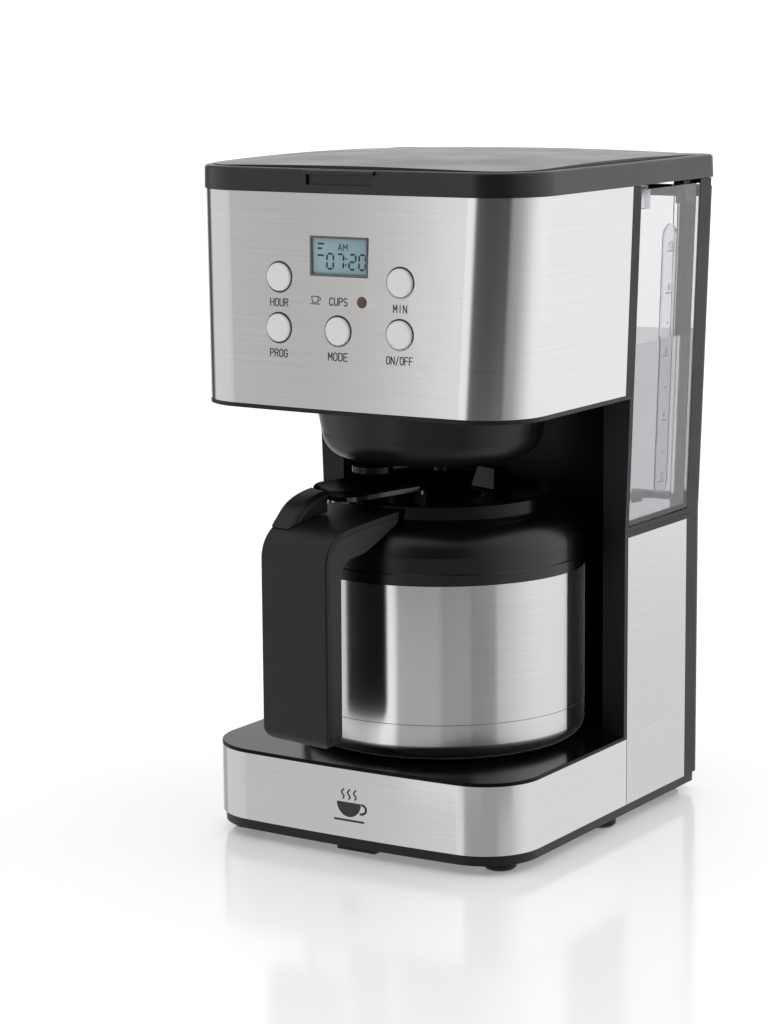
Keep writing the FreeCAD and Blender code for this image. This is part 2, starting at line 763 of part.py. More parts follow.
SKIN = SHEET + GAP
outer = tapered(head_outline(HEAD_LOW, SKIN, COLUMN - 0.1), HEAD_LOW + 0.1,
                head_outline(HEAD_TOP, SKIN, COLUMN - 0.1), HEAD_TOP)
inner = tapered(head_outline(HEAD_LOW - 1, SKIN + WALL, COLUMN + 5), HEAD_LOW - 1,
                head_outline(HEAD_TOP + 1, SKIN + WALL, COLUMN + 5), HEAD_TOP + 1)
post_right = box(half_at(HEAD_LOW) - 2.0, half_at(HEAD_TOP) + 2, WRAP_END + 0.3, COLUMN - 0.1,
                 HEAD_LOW + 0.1, HEAD_TOP)
post_left = box(-half_at(HEAD_TOP) - 2, 2.0 - half_at(HEAD_LOW), WRAP_END + 0.3, COLUMN - 0.1,
                HEAD_LOW + 0.1, HEAD_TOP)
post_limit = tapered(head_outline(HEAD_LOW, 0, COLUMN + 2), HEAD_LOW,
                     head_outline(HEAD_TOP, 0, COLUMN + 2), HEAD_TOP)
posts = common(fuse(post_right, post_left), post_limit)
finish(cut(fuse(cut(outer, inner), posts), *panel_holes(0.4)), "head_inner_shell")

floor_plate = fuse(prism(head_outline(HEAD_LOW, 0, COLUMN - 0.1), TRIM_LOW, HEAD_LOW - 0.1),
                   cut(scoop(D["scoop_radius"] - 0.4, TRIM_LOW, HEAD_LOW - 0.1),
                       box(-90, 90, -100, 0, 200, 240)))
finish(cut(floor_plate, rod(D["bowl_radius"] + 0.9, 220, 232, 0, BOWL_Y)), "head_floor")

# ---------------------------------------------------------------- controls
BOARD = D["board_front"]
for name, x, z in BUTTONS:
    face = face_at(x, z)
    cap = rod_y(D["button_radius"], face - D["button_proud"], face + 4.2, x, z)
    front_limit = (face - D["button_proud"]).size

    def cap_rim(edge, limit=front_limit):
        extent = edge.BoundBox
        return abs(extent.YMin - limit) < 0.01 and extent.YLength < 0.01

    dome = round_edges(cap, 1.0, cap_rim)
    stem = rod_y(2.6, face + 4.0, BOARD - 5.6, x, z)
    finish(fuse(dome, stem), name)

switches = []
for name, x, z in BUTTONS:
    switches.append(fuse(box(x - 3, x + 3, BOARD - 3.4, BOARD - 0.02, z - 3, z + 3),
                         rod_y(1.7, BOARD - 4.1, BOARD - 3, x, z)))
finish(group(*switches), "button_switches")
finish(box(PC - 50, PC + 50, BOARD, BOARD + D["board_sheet"], 256, 318), "control_board")

pegs = []
for x in (PC - 46, PC + 46):
    for z in (260, 314):
        pegs.append(rod_y(2.5, face_at(x, z) + SKIN + WALL + 0.3, BOARD - 0.02, x, z))
finish(group(*pegs), "board_standoffs")

show_face = face_at(PC, SHOW_Z)
RIM = D["display_frame"]
rim_out = box(PC - SHOW_W + 0.2, PC + SHOW_W - 0.2, show_face - 0.35, show_face + 3.2,
              SHOW_Z - SHOW_H + 0.2, SHOW_Z + SHOW_H - 0.2)
rim_in = box(PC - SHOW_W + RIM, PC + SHOW_W - RIM, show_face - 2, show_face + 5, SHOW_Z - SHOW_H + RIM,
             SHOW_Z + SHOW_H - RIM)
finish(cut(rim_out, rim_in), "display_frame")
finish(box(PC - SHOW_W + RIM + 0.05, PC + SHOW_W - RIM - 0.05, show_face + 0.9, show_face + 2.0,
           SHOW_Z - SHOW_H + RIM + 0.05, SHOW_Z + SHOW_H - RIM - 0.05), "display_window")
finish(box(PC - 18, PC + 18, show_face + 4.4, show_face + 8.0, SHOW_Z - 11.5, SHOW_Z + 11.5),
       "display_module")
lamp_face = face_at(LAMP_X, LAMP_Z)
lamp = rod_y(D["lamp_radius"], lamp_face - 0.5, lamp_face + 4, LAMP_X, LAMP_Z)
lamp_limit = (lamp_face - 0.5).size


def lamp_rim(edge):
    extent = edge.BoundBox
    return abs(extent.YMin - lamp_limit) < 0.01 and extent.YLength < 0.01


finish(round_edges(lamp, 0.45, lamp_rim), "power_lamp")

# ---------------------------------------------------------------- filter bowl and what hangs in it
BOWL = D["bowl_radius"]
BOTTOM = D["bowl_bottom"]
BW = D["bowl_wall"]
bowl_corners = [
    (0, BOTTOM), (BOWL - 16.5, BOTTOM), (BOWL - 3.2, BOTTOM + 13.6, 14, 1), (BOWL, HEAD_LOW - 2),
    (BOWL, HEAD_LOW + 0.1), (BOWL + 5, HEAD_LOW + 0.1), (BOWL + 5, HEAD_LOW + 2.2), (BOWL, HEAD_LOW + 2.2),
    (BOWL, D["bowl_rim"]), (BOWL - BW, D["bowl_rim"]), (BOWL - BW, HEAD_LOW - 2),
    (BOWL - BW - 3.0, BOTTOM + 14.2),
    (BOWL - 16.6, BOTTOM + BW, 11.9, -1), (0, BOTTOM + BW)]
bowl = turned(bowl_corners, BOWL_Y)
finish(cut(bowl, rod(D["valve_radius"] + 0.12, BOTTOM - 2, BOTTOM + BW + 1, 0, JUG_Y)), "filter_bowl")

basket_corners = [(0, BOTTOM + 14), (37, BOTTOM + 14), (54, D["bowl_rim"] - 3), (54, D["bowl_rim"] + 0.1),
                  (BOWL - 0.2, D["bowl_rim"] + 0.1), (BOWL - 0.2, D["bowl_rim"] + 1.8),
                  (52.6, D["bowl_rim"] + 1.8),
                  (52.6, D["bowl_rim"] - 3), (35.9, BOTTOM + 15.4), (0, BOTTOM + 15.4)]
basket = turned(basket_corners, BOWL_Y)
drains = []
for step in range(8):
    angle = math.radians(45.0 * step)
    drains.append(rod(2.2, BOTTOM + 12, BOTTOM + 17, 22 * math.cos(angle), BOWL_Y + 22 * math.sin(angle)))
drains.append(rod(3.0, BOTTOM + 12, BOTTOM + 17, 0, BOWL_Y - 2))
finish(cut(basket, *drains), "filter_basket")
bail_ring = doc.addObject("Part::Torus", "Bail")
bind(bail_ring, "Radius1", 50.5)
bind(bail_ring, "Radius2", 1.1)
place(bail_ring, 0, BOWL_Y, D["bowl_rim"] + 3.1)
finish(common(bail_ring, box(-60, 60, BOWL_Y - 60, BOWL_Y, 290, 312)), "basket_bail")

plate = rod(27, 312.2, 316.18, 0, BOWL_Y)
jets = []
for count, reach in ((6, 9.0), (12, 19.0)):
    for step in range(count):
        angle = math.radians(360.0 * step / count)
        jets.append(rod(1.3, 311, 318, reach * math.cos(angle), BOWL_Y + reach * math.sin(angle)))
finish(cut(plate, *jets), "shower_head")

# drip stop: plunger, arm and shoe in one piece, pushed up by the jug's lid
TIP = D["valve_tip"]
VR = D["valve_radius"]
plunger = fuse(rod(VR, TIP, BOTTOM + 5.5, 0, JUG_Y),
               rod(6.8, BOTTOM + BW + 0.1, BOTTOM + BW + 2.0, 0, JUG_Y))
ARM_ANGLE = math.radians(21)
ARM_TURN = FreeCAD.Rotation(Vec(0, 0, 1), -21)
arm_block = doc.addObject("Part::Box", "Arm")
bind(arm_block, "Length", 9)
bind(arm_block, "Width", 44)
bind(arm_block, "Height", 2.4)
arm_x = -44 * math.sin(ARM_ANGLE) - 4.5 * math.cos(ARM_ANGLE)
arm_y = -44 * math.cos(ARM_ANGLE) + 4.5 * math.sin(ARM_ANGLE)
place(arm_block, arm_x, JUG_Y + arm_y, BOTTOM - 5.2, ARM_TURN)
shoe = rod(10.5, BOTTOM - 5.8, BOTTOM - 2.7, -44.5 * math.sin(ARM_ANGLE),
           JUG_Y - 44.5 * math.cos(ARM_ANGLE))
finish(fuse(plunger, arm_block, shoe), "drip_stop")

coil_path = doc.addObject("Part::Helix", "CoilPath")
coil_path.Pitch = 2.2
coil_path.Height = 8.4
coil_path.Radius = 5.0
place(coil_path, 0, JUG_Y, BOTTOM + BW + 2.7)
coil_wire = doc.addObject("Part::Circle", "CoilWire")
coil_wire.Radius = 0.45
place(coil_wire, 5.0, JUG_Y, BOTTOM + BW + 2.7, FreeCAD.Rotation(Vec(1, 0, 0), 90))
coil = doc.addObject("Part::Sweep", "Coil")
coil.Sections = [coil_wire]
coil.Spine = (coil_path, [])
coil.Solid = True
coil.Frenet = True
finish(coil, "drip_stop_spring")

# ---------------------------------------------------------------- top lid and its hinge
RIM_TOP = D["lid_rim_top"]
OVER = D["lid_overhang"]
LID_HALF = D["top_half_width"] + OVER


def lid_outline(inset, lean):
    inset = ex(inset)
    return bowed(LID_HALF - inset - lean, D["head_front_high"] - OVER + inset - lean, BACK - inset,
                 D["corner_radius"] + OVER - inset, D["head_bow"], D["rear_corner"] - inset)


RIM_STEPS = [(1.7, 0.0), (0.8, 0.25), (0.25, 0.8), (0.0, 1.6)]
lid_layers = [tapered(lid_outline(0, 0), LIDZ, lid_outline(0, 0.5), RIM_TOP - RIM_STEPS[0][0])]
for below, above in zip(RIM_STEPS, RIM_STEPS[1:]):
    lid_layers.append(tapered(lid_outline(below[1], 0.5), RIM_TOP - below[0],
                              lid_outline(above[1], 0.5), RIM_TOP - above[0]))
lid_block = fuse(*lid_layers)
CROWN = D["lid_crown_top"]
CROWN_ROUND = 2600.0
crown_ball = doc.addObject("Part::Sphere", "CrownBall")
bind(crown_ball, "Radius", CROWN_ROUND)
place(crown_ball, 0, 10.0, CROWN - CROWN_ROUND)
crown = common(prism(lid_outline(4.6, 0.5), RIM_TOP - 1.0, CROWN + 2), crown_ball)
groove = cut(prism(lid_outline(4.0, 0.5), RIM_TOP - 0.5, RIM_TOP + 1),
             prism(lid_outline(4.7, 0.5), RIM_TOP - 1, RIM_TOP + 2))
lid_hollow = prism(lid_outline(WALL, 0.2), LIDZ - 1, RIM_TOP - 2.4)
TAB_X = -2.0
tab_recess = box(TAB_X - 19.5, TAB_X + 19.5, -100, D["head_front_high"] + 0.9, LIDZ + 4.0, RIM_TOP - 2.8)
tab_ledge = box(TAB_X - 20.5, TAB_X + 20.5, D["head_front_high"] - 2.9, D["head_front_high"] + 2,
                RIM_TOP - 2.6, RIM_TOP - 0.5)


def tab_edge(edge):
    extent = edge.BoundBox
    return extent.YMax < D["head_front_high"].size - 2.5 and extent.XLength > 5


tab_ledge = round_edges(tab_ledge, 0.8, tab_edge)
knuckles = []
knuckle_holes = []
skirt_notches = []
for side in (-1, 1):
    near = 62 if side > 0 else -71
    far = 71 if side > 0 else -62
    knuckles.append(rod_x(3.1, near, far, HINGE_Y, HINGE_Z))
    knuckles.append(box(near, far, HINGE_Y - 2.4, HINGE_Y + 2.4, HINGE_Z, RIM_TOP - 2.2))
    knuckle_holes.append(rod_x(PIN + D["hinge_fit"], ex(near) - 1, ex(far) + 1, HINGE_Y, HINGE_Z))
    low_x = 49.4 if side > 0 else -61.9
    high_x = 61.9 if side > 0 else -49.4
    skirt_notches.append(box(low_x, high_x, HINGE_Y - 4, BACK + 1, LIDZ - 1, HINGE_Z + 6))
lid_body = cut(fuse(lid_block, tab_ledge), lid_hollow, groove, tab_recess, *skirt_notches)
finish(cut(fuse(lid_body, crown, *knuckles), *knuckle_holes), "lid")

pins = []
for side in (-1, 1):
    near = 50.5 if side > 0 else -70.5
    far = 70.5 if side > 0 else -50.5
    pins.append(rod_x(PIN, near, far, HINGE_Y, HINGE_Z))
finish(group(*pins), "lid_hinge_pins")

# ---------------------------------------------------------------- insulated jug
JR = D["jug_radius"]
JB = D["jug_bottom"]
BAND = D["jug_band_top"]
STEEL_TOP = D["jug_steel_top"]
COLLAR = D["collar_top"]
SKIN_IN = JR - SHEET
finish(turned([(0, JB), (JR - 8, JB), (JR, JB + 8, 8, 1), (JR, BAND), (SKIN_IN, BAND),
               (SKIN_IN, JB + 8), (JR - 8, JB + SHEET, 7.2, -1), (0, JB + SHEET)], JUG_Y), "jug_base_band")
finish(turned([(SKIN_IN, BAND + 0.3), (JR, BAND + 0.3), (JR, STEEL_TOP), (SKIN_IN, STEEL_TOP)], JUG_Y),
       "jug_outer_shell")
finish(turned([(SKIN_IN - 1.1, BAND - 6), (SKIN_IN - 0.08, BAND - 6), (SKIN_IN - 0.08, BAND + 6),
               (SKIN_IN - 1.1, BAND + 6)], JUG_Y), "jug_joint_ring")
finish(turned([(0, JB + 3), (60, JB + 3), (69, JB + 12, 9, 1), (69, 134), (50, 153), (50, 163), (49.2, 163),
               (49.2, 152.6), (68.2, 133.6), (68.2, JB + 12), (60, JB + 3.8, 8.2, -1), (0, JB + 3.8)],
               JUG_Y),
       "jug_inner_flask")

collar_corners = [
    (SKIN_IN - 0.1, STEEL_TOP - 5), (SKIN_IN - 0.1, STEEL_TOP + 0.1), (JR + 0.45, STEEL_TOP + 0.1),
    (JR + 0.45, STEEL_TOP + 5.6), (JR - 0.1, STEEL_TOP + 6.2), (JR - 0.2, 152),
    (61.6, COLLAR - 1.2, 17.5, 1),
    (59.4, COLLAR), (58.0, COLLAR), (58.0, COLLAR - 5.2), (50.3, COLLAR - 5.2), (50.3, COLLAR - 12),
    (53.0, COLLAR - 12), (53.0, COLLAR - 7.6), (61.0, COLLAR - 6.0), (71.6, 150), (71.9, STEEL_TOP - 5)]
finish(turned(collar_corners, JUG_Y), "jug_collar")

LT = D["lid_disc_top"]
LR = D["lid_disc_radius"]
lid_corners = [
    (0, 152), (48.3, 152), (48.3, COLLAR - 4.9), (LR, COLLAR - 4.9), (LR, LT - 1.0), (LR - 1.2, LT),
    (53.4, LT), (50.5, LT - 2.8), (22, LT - 3.6), (14, LT - 8.4), (0, LT - 8.4)]
lid_solid = turned(lid_corners, JUG_Y)
lid_core = turned([(0, 151), (45.8, 151), (45.8, COLLAR - 3.0), (20, COLLAR - 3.0), (13, LT - 10.8),
                   (0, LT - 10.8)], JUG_Y)
LEVER = FreeCAD.Rotation(Vec(0, 0, 1), -D["lever_turn"].size)
TURN = math.radians(D["lever_turn"].size)


def lid_frame(body):
    """Turn a piece drawn about the origin into the jug lid's direction."""
    return place(body, 0, JUG_Y, 0, LEVER)


PIVOT_Y = -25.0
PIVOT_Z = 177.6
ears = []
for side in (-1, 1):
    near = 8 if side > 0 else -11.5
    far = 11.5 if side > 0 else -8
    ear = fuse(box(near, far, PIVOT_Y - 2.2, PIVOT_Y + 2.2, LT - 5, PIVOT_Z),
               rod_x(2.2, near, far, PIVOT_Y, PIVOT_Z))
    ears.append(cut(ear, rod_x(1.21, ex(near) - 1, ex(far) + 1, PIVOT_Y, PIVOT_Z)))
ear_pair = group(*ears)
turned_ears = doc.addObject("Part::Compound", "EarsTurned")
turned_ears.Links = [ear_pair]
lid_frame(turned_ears)
finish(fuse(cut(lid_solid, lid_core), turned_ears), "jug_lid")
finish(turned([(48.4, 156), (49.05, 156), (49.05, 158.4), (48.4, 158.4)], JUG_Y), "jug_lid_seal")

pin_raw = rod_x(1.2, -11.2, 11.2, PIVOT_Y, PIVOT_Z)
pin_turned = doc.addObject("Part::Compound", "PinTurned")
pin_turned.Links = [pin_raw]
lid_frame(pin_turned)
finish(pin_turned, "lever_pin")


def rounded_plan(half, y0, y1, radius_near, radius_far):
    """Corners of a plan outline with round corners; y0 is the edge towards the user."""
    return [(half - radius_near, y0), (half, y0 + radius_near, radius_near, 1), (half, y1 - radius_far),
            (half - radius_far, y1, radius_far, 1), (radius_far - half, y1),
            (-half, y1 - radius_far, radius_far, 1), (-half, y0 + radius_near),
            (radius_near - half, y0, radius_near, 1)]


PAD_TOP = 180.4
DISH = 84.0
pad_plan = prism(rounded_plan(D["lever_pad_half"], -D["lever_pad_far"], -28.2, ex(15), ex(12)), 170, 190)
pad_skin = cut(rod_y(DISH + D["lever_pad_sheet"].size, -90, -10, 0, PAD_TOP + DISH),
               rod_y(DISH, -91, -9, 0, PAD_TOP + DISH))
pad_plate = common(pad_plan, pad_skin)
pad_barrel = rod_x(2.2, -7.6, 7.6, PIVOT_Y, PIVOT_Z)
pad_web = box(-7.6, 7.6, -30, PIVOT_Y - 0.6, 177.0, 179.4)
pad_local = cut(fuse(pad_plate, pad_barrel, pad_web), rod_x(1.26, -12, 12, PIVOT_Y, PIVOT_Z))
pad_group = doc.addObject("Part::Compound", "PadTurned")
pad_group.Links = [pad_local]
lid_frame(pad_group)
finish(pad_group, "thumb_lever")

block = tapered([(9, -7), (9, 7), (-9, 7), (-9, -7)], LT - 2.9,
                [(6.5, -4.5), (6.5, 4), (-6.5, 4), (-6.5, -4.5)], 183.4)
place(block, 35 * math.sin(math.radians(19)), JUG_Y + 35 * math.cos(math.radians(19)), 0,
      FreeCAD.Rotation(Vec(0, 0, 1), -19))
finish(block, "pour_valve_cap")

# ---------------------------------------------------------------- jug handle
HANDLE = FreeCAD.Rotation(Vec(0, 0, 1), -D["handle_turn"].size)
REACH = D["handle_reach"]
HT = D["handle_top"]
HB = D["handle_bottom"]
HW = D["handle_width"] / 2
cover_path = [
    (-58.5, HT + 1.0), (-84, HT - 1.4), (-96, HT - 3.0), (-REACH, HT - 20.5, 18, 1), (-REACH, HB + 5),
    (3.4 - REACH, HB + 0.4, 5.5, 1), (3.4 - REACH, HT - 20.5), (-95.6, HT - 6.4, 14.6, -1),
    (-84, HT - 4.8), (-58.5, HT - 2.4)]
core_path = [
    (-58.5, HT - 2.8), (-84, HT - 5.2), (-95.5, HT - 6.9), (3.9 - REACH, HT - 20.5, 14.2, 1),
    (3.9 - REACH, HB + 3.5), (6.6 - REACH, HB + 0.4, 3.2, 1), (8.6 - REACH, HB + 0.4),
    (11.4 - REACH, HB + 3.6, 3.6, 1),
    (11.8 - REACH, HT - 26), (-92.5, HT - 18.2, 8.5, -1), (-82.6, HT - 16.8), (-70, HT - 11.0),
    (-58.5, HT - 5.0)]


def face_prism(shrink):
    half = HW - shrink
    corners = [(half - 7, HB), (half, HB + 7, 7, 1), (half, 200), (-half, 200), (-half, HB + 7),
               (7 - half, HB, 7, 1)]
    body = make_body()
    sketch = draw(sketch_on(body, "XZ_Plane", 0), corners)
    pad = doc.addObject("PartDesign::Pad", "Pad")
    body.addObject(pad)
    pad.Profile = sketch
    pad.Midplane = True
    pad.Length = 300.0
    body.Tip = pad
    return body


jug_core = turned([(0, 100), (JR + 0.75, 100), (JR + 0.75, STEEL_TOP + 5.8), (JR + 0.1, 152.2),
                   (61.9, COLLAR - 1.0, 17.7, 1), (59.6, COLLAR + 0.3), (0, COLLAR + 0.3)], 0)
cover = common(side_profile(cover_path, HW), face_prism(0))
cover_cut = cut(cover, jug_core)


def cover_edge(edge):
    extent = edge.BoundBox
    side = abs(abs(extent.Center.x) - HW.size) < 0.01 and extent.XLength < 0.01
    outer = extent.YMin < -REACH.size + 0.5 and extent.ZMin > HB.size + 3
    return side and outer


cover_round = round_edges(cover_cut, 1.0, cover_edge)
cover_group = doc.addObject("Part::Compound", "CoverTurned")
cover_group.Links = [cover_round]
place(cover_group, 0, JUG_Y, 0, HANDLE)
finish(cover_group, "jug_handle_cover")

core = cut(common(side_profile(core_path, HW - 0.8), face_prism(0.8)), jug_core)
core_group = doc.addObject("Part::Compound", "CoreTurned")
core_group.Links = [core]
place(core_group, 0, JUG_Y, 0, HANDLE)
finish(core_group, "jug_handle_core")

# guard beside the thumb lever: a rounded ridge along the left of the handle's top
guard_path = [
    (-57, HT + 1.5), (-57, 181.2), (-67, 183.6, 22, 1), (-84, 181.7, 56, 1), (-93, 178.0, 34, 1),
    (-99, 172.6, 30, 1), (-104.4, 167.0), (-101.5, 168.7), (-96, HT - 2.4), (-84, HT - 0.8)]
guard = side_profile(guard_path, 8.0)


def guard_top(edge):
    extent = edge.BoundBox
    side = abs(abs(extent.Center.x) - 8.0) < 0.01 and extent.XLength < 0.01
    return side and extent.ZMin > 172 and extent.ZMax > 177 and extent.YLength > 3


guard_round = round_edges(guard, 3.0, guard_top)
guard_group = doc.addObject("Part::Compound", "GuardMoved")
guard_group.Links = [guard_round]
place(guard_group, -16.2, 0, 0)
pad_room = prism(rounded_plan(D["lever_pad_half"] + 1.3, -D["lever_pad_far"] - 1.3, -20, ex(16.3),
                              ex(12)), 170, 200)
pad_room_group = doc.addObject("Part::Compound", "PadRoom")
pad_room_group.Links = [pad_room]
place(pad_room_group, 0, 0, 0, FreeCAD.Rotation(Vec(0, 0, 1), D["handle_turn"].size - D["lever_turn"].size))
guard_cut = cut(guard_group, pad_room_group, jug_core)
guard_turned = doc.addObject("Part::Compound", "GuardTurned")
guard_turned.Links = [guard_cut]
place(guard_turned, 0, JUG_Y, 0, HANDLE)
finish(guard_turned, "lever_guard")


# ---------------------------------------------------------------- check and export
doc.recompute()
for obj in doc.Objects:
    state = getattr(obj, "State", [])
    if "Invalid" in state or "Error" in state:
        raise RuntimeError("bad object " + obj.Name + " " + obj.Label + " " + str(state))
names = [obj.Label for obj in finished]
if len(set(names)) != len(names):
    raise RuntimeError("two pieces share a name")
os.makedirs("parts", exist_ok=True)
for obj in finished:
    shape = obj.Shape
    if shape.isNull() or not shape.isValid() or not shape.Solids:
        raise RuntimeError("bad shape " + obj.Label)
    shape.exportStep("parts/" + obj.Label + ".step")
    print(obj.Label, len(shape.Solids), "solids", round(shape.Volume / 1000.0, 2), "cm3")
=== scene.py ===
import json
import math

import bmesh
import bpy
from mathutils import Matrix, Vector
from mathutils.bvhtree import BVHTree


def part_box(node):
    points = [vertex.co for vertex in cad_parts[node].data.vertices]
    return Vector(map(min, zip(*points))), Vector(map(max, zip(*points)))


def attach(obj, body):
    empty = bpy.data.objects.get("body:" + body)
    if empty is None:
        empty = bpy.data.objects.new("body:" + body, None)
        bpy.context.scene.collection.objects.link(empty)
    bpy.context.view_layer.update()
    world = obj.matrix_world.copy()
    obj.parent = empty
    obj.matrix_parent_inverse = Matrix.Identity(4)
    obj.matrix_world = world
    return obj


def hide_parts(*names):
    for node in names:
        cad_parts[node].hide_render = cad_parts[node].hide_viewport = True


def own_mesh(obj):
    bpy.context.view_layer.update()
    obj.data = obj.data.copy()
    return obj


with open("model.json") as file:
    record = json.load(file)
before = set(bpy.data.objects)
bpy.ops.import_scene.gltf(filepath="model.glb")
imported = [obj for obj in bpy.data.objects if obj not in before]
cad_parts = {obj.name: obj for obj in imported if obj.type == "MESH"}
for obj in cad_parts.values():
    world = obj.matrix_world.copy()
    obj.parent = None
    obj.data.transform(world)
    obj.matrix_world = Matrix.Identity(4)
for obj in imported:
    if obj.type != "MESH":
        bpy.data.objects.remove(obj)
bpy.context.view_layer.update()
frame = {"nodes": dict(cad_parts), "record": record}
MM = 0.001


# ---------------------------------------------------------------- small helpers
def centre(node):
    """Middle of a node's box, in the row frame."""
    low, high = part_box(node)
    return [(low[i] + high[i]) / 2 for i in range(3)]


def surface(node):
    """Ray-castable copy of a node's skin, in the row frame."""
    mesh = frame["nodes"][node].data
    points = [v.co.copy() for v in mesh.vertices]
    faces = [tuple(p.vertices) for p in mesh.polygons]
    return BVHTree.FromPolygons(points, faces)


def mesh_piece(name, verts, faces, body, material, smooth=False):
    """New visible piece that rides on a body and takes its finish from a slot."""
    mesh = bpy.data.meshes.new(name)
    mesh.from_pydata([tuple(v) for v in verts], [], faces)
    mesh.validate()
    mesh.update()
    obj = bpy.data.objects.new(name, mesh)
    bpy.context.collection.objects.link(obj)
    mesh.materials.append(material)
    if smooth:
        for poly in mesh.polygons:
            poly.use_smooth = True
    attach(obj, body)
    return obj


def face_outwards(obj, split_large=False):
    """Turn every face outwards; split_large first cuts the many-sided faces into triangles."""
    work = bmesh.new()
    work.from_mesh(obj.data)
    if split_large:
        bmesh.ops.triangulate(work, faces=[f for f in work.faces if len(f.verts) > 4])
    bmesh.ops.recalc_face_normals(work, faces=work.faces)
    work.to_mesh(obj.data)
    work.free()


# ---------------------------------------------------------------- materials
FINE_RELIEF, GRAIN_RELIEF, RIPPLE_RELIEF = 0.00004, 0.00005, 0.0006
NOISE_LOW, NOISE_HIGH = 0.3, 0.7
BRUSHING = (11, 11, 1700)    # noise scale along x, y and z: long flat streaks
SPREAD_OF_SHINE, QUARTER_TURN = 0.75, 0.25


def new_material(name):
    """Material with a Principled shader, its tree and the shader."""
    mat = bpy.data.materials.new(name)
    mat.use_nodes = True
    tree = mat.node_tree
    return mat, tree, tree.nodes["Principled BSDF"]


def noise(tree, scale, detail=3.0, roughness=0.55, stretch=(1, 1, 1)):
    """Noise in object space; stretch multiplies the scale along each axis."""
    coord = tree.nodes.new("ShaderNodeTexCoord")
    mapping = tree.nodes.new("ShaderNodeMapping")
    mapping.inputs["Scale"].default_value = [scale * s for s in stretch]
    tree.links.new(coord.outputs["Object"], mapping.inputs["Vector"])
    tex = tree.nodes.new("ShaderNodeTexNoise")
    tex.inputs["Scale"].default_value = 1.0
    tex.inputs["Detail"].default_value = detail
    tex.inputs["Roughness"].default_value = roughness
    tree.links.new(mapping.outputs["Vector"], tex.inputs["Vector"])
    return tex.outputs["Fac"]


def spread(tree, value, low, high):
    """Map a noise, which mostly lies between NOISE_LOW and NOISE_HIGH, onto a range."""
    node = tree.nodes.new("ShaderNodeMapRange")
    node.inputs["From Min"].default_value = NOISE_LOW
    node.inputs["From Max"].default_value = NOISE_HIGH
    node.inputs["To Min"].default_value = low
    node.inputs["To Max"].default_value = high
    tree.links.new(value, node.inputs["Value"])
    return node.outputs["Result"]


def tint(tree, factor, first, second):
    """Mix two colours by a factor."""
    node = tree.nodes.new("ShaderNodeMix")
    node.data_type = "RGBA"
    node.inputs["A"].default_value = (*first, 1)
    node.inputs["B"].default_value = (*second, 1)
    tree.links.new(factor, node.inputs["Factor"])
    return node.outputs["Result"]


def bump(tree, height, strength, distance, shader):
    """Fine relief; the distance is in metres."""
    node = tree.nodes.new("ShaderNodeBump")
    node.inputs["Strength"].default_value = strength
    node.inputs["Distance"].default_value = distance
    tree.links.new(height, node.inputs["Height"])
    tree.links.new(node.outputs["Normal"], shader.inputs["Normal"])


def steel(name, colour, rough, streak, contrast, sheen=0.0):
    """Brushed sheet: fine streaks along the brushing, highlight spread across it."""
    mat, tree, shader = new_material(name)
    shader.inputs["Metallic"].default_value = 1.0
    fine = noise(tree, 1.0, 4.0, 0.6, BRUSHING)
    broad = noise(tree, 1.0, 2.0, 0.5, (BRUSHING[0] * 0.4, BRUSHING[1] * 0.4, BRUSHING[2] * 0.12))
    dark = [c * (1.0 - contrast) for c in colour]
    light = [min(1.0, c * (1.0 + contrast * 0.7)) for c in colour]
    mixed = tree.nodes.new("ShaderNodeMath")
    mixed.operation = "MULTIPLY_ADD"
    mixed.inputs[1].default_value = 0.2
    tree.links.new(broad, mixed.inputs[0])
    share = spread(tree, fine, 0.0, 0.8)
    tree.links.new(share, mixed.inputs[2])
    tree.links.new(tint(tree, mixed.outputs["Value"], dark, light), shader.inputs["Base Color"])
    tree.links.new(spread(tree, fine, rough * 0.93, rough * 1.08), shader.inputs["Roughness"])
    shader.inputs["Anisotropic"].default_value = SPREAD_OF_SHINE
    shader.inputs["Anisotropic Rotation"].default_value = QUARTER_TURN
    tangent = tree.nodes.new("ShaderNodeTangent")
    tangent.direction_type = "RADIAL"
    tangent.axis = "Z"
    tree.links.new(tangent.outputs["Tangent"], shader.inputs["Tangent"])
    bump(tree, fine, streak, FINE_RELIEF, shader)
    if sheen:
        shader.inputs["Sheen Weight"].default_value = sheen
        shader.inputs["Sheen Roughness"].default_value = 0.3
    return mat


def plastic(name, colour, rough, grain=0.12, size=2400.0, specular=0.5, coat=0.0, lift=1.35):
    """Moulded plastic: fine even grain, slow drift of colour and gloss."""
    mat, tree, shader = new_material(name)
    fine = noise(tree, size, 2.0, 0.5)
    slow = noise(tree, 28.0, 3.0, 0.5)
    lighter = [c * lift for c in colour]
    tree.links.new(tint(tree, slow, colour, lighter), shader.inputs["Base Color"])
    tree.links.new(spread(tree, slow, rough - 0.035, rough + 0.05), shader.inputs["Roughness"])
    shader.inputs["Specular IOR Level"].default_value = specular
    if coat:
        shader.inputs["Coat Weight"].default_value = coat
        shader.inputs["Coat Roughness"].default_value = 0.08
    if grain:
        bump(tree, fine, grain, GRAIN_RELIEF, shader)
    return mat


def clear(name, colour, ior, rough, ripple, size):
    """Clear moulding or liquid; a faint ripple bends what is seen through it."""
    mat, tree, shader = new_material(name)
    shader.inputs["Transmission Weight"].default_value = 1.0
    shader.inputs["IOR"].default_value = ior
    slow = noise(tree, size, 2.0, 0.5)
    deeper = [c * 0.97 for c in colour]
    tree.links.new(tint(tree, slow, deeper, colour), shader.inputs["Base Color"])
    tree.links.new(spread(tree, slow, max(0.0, rough - 0.01), rough + 0.01), shader.inputs["Roughness"])
    bump(tree, slow, ripple, RIPPLE_RELIEF, shader)
    return mat


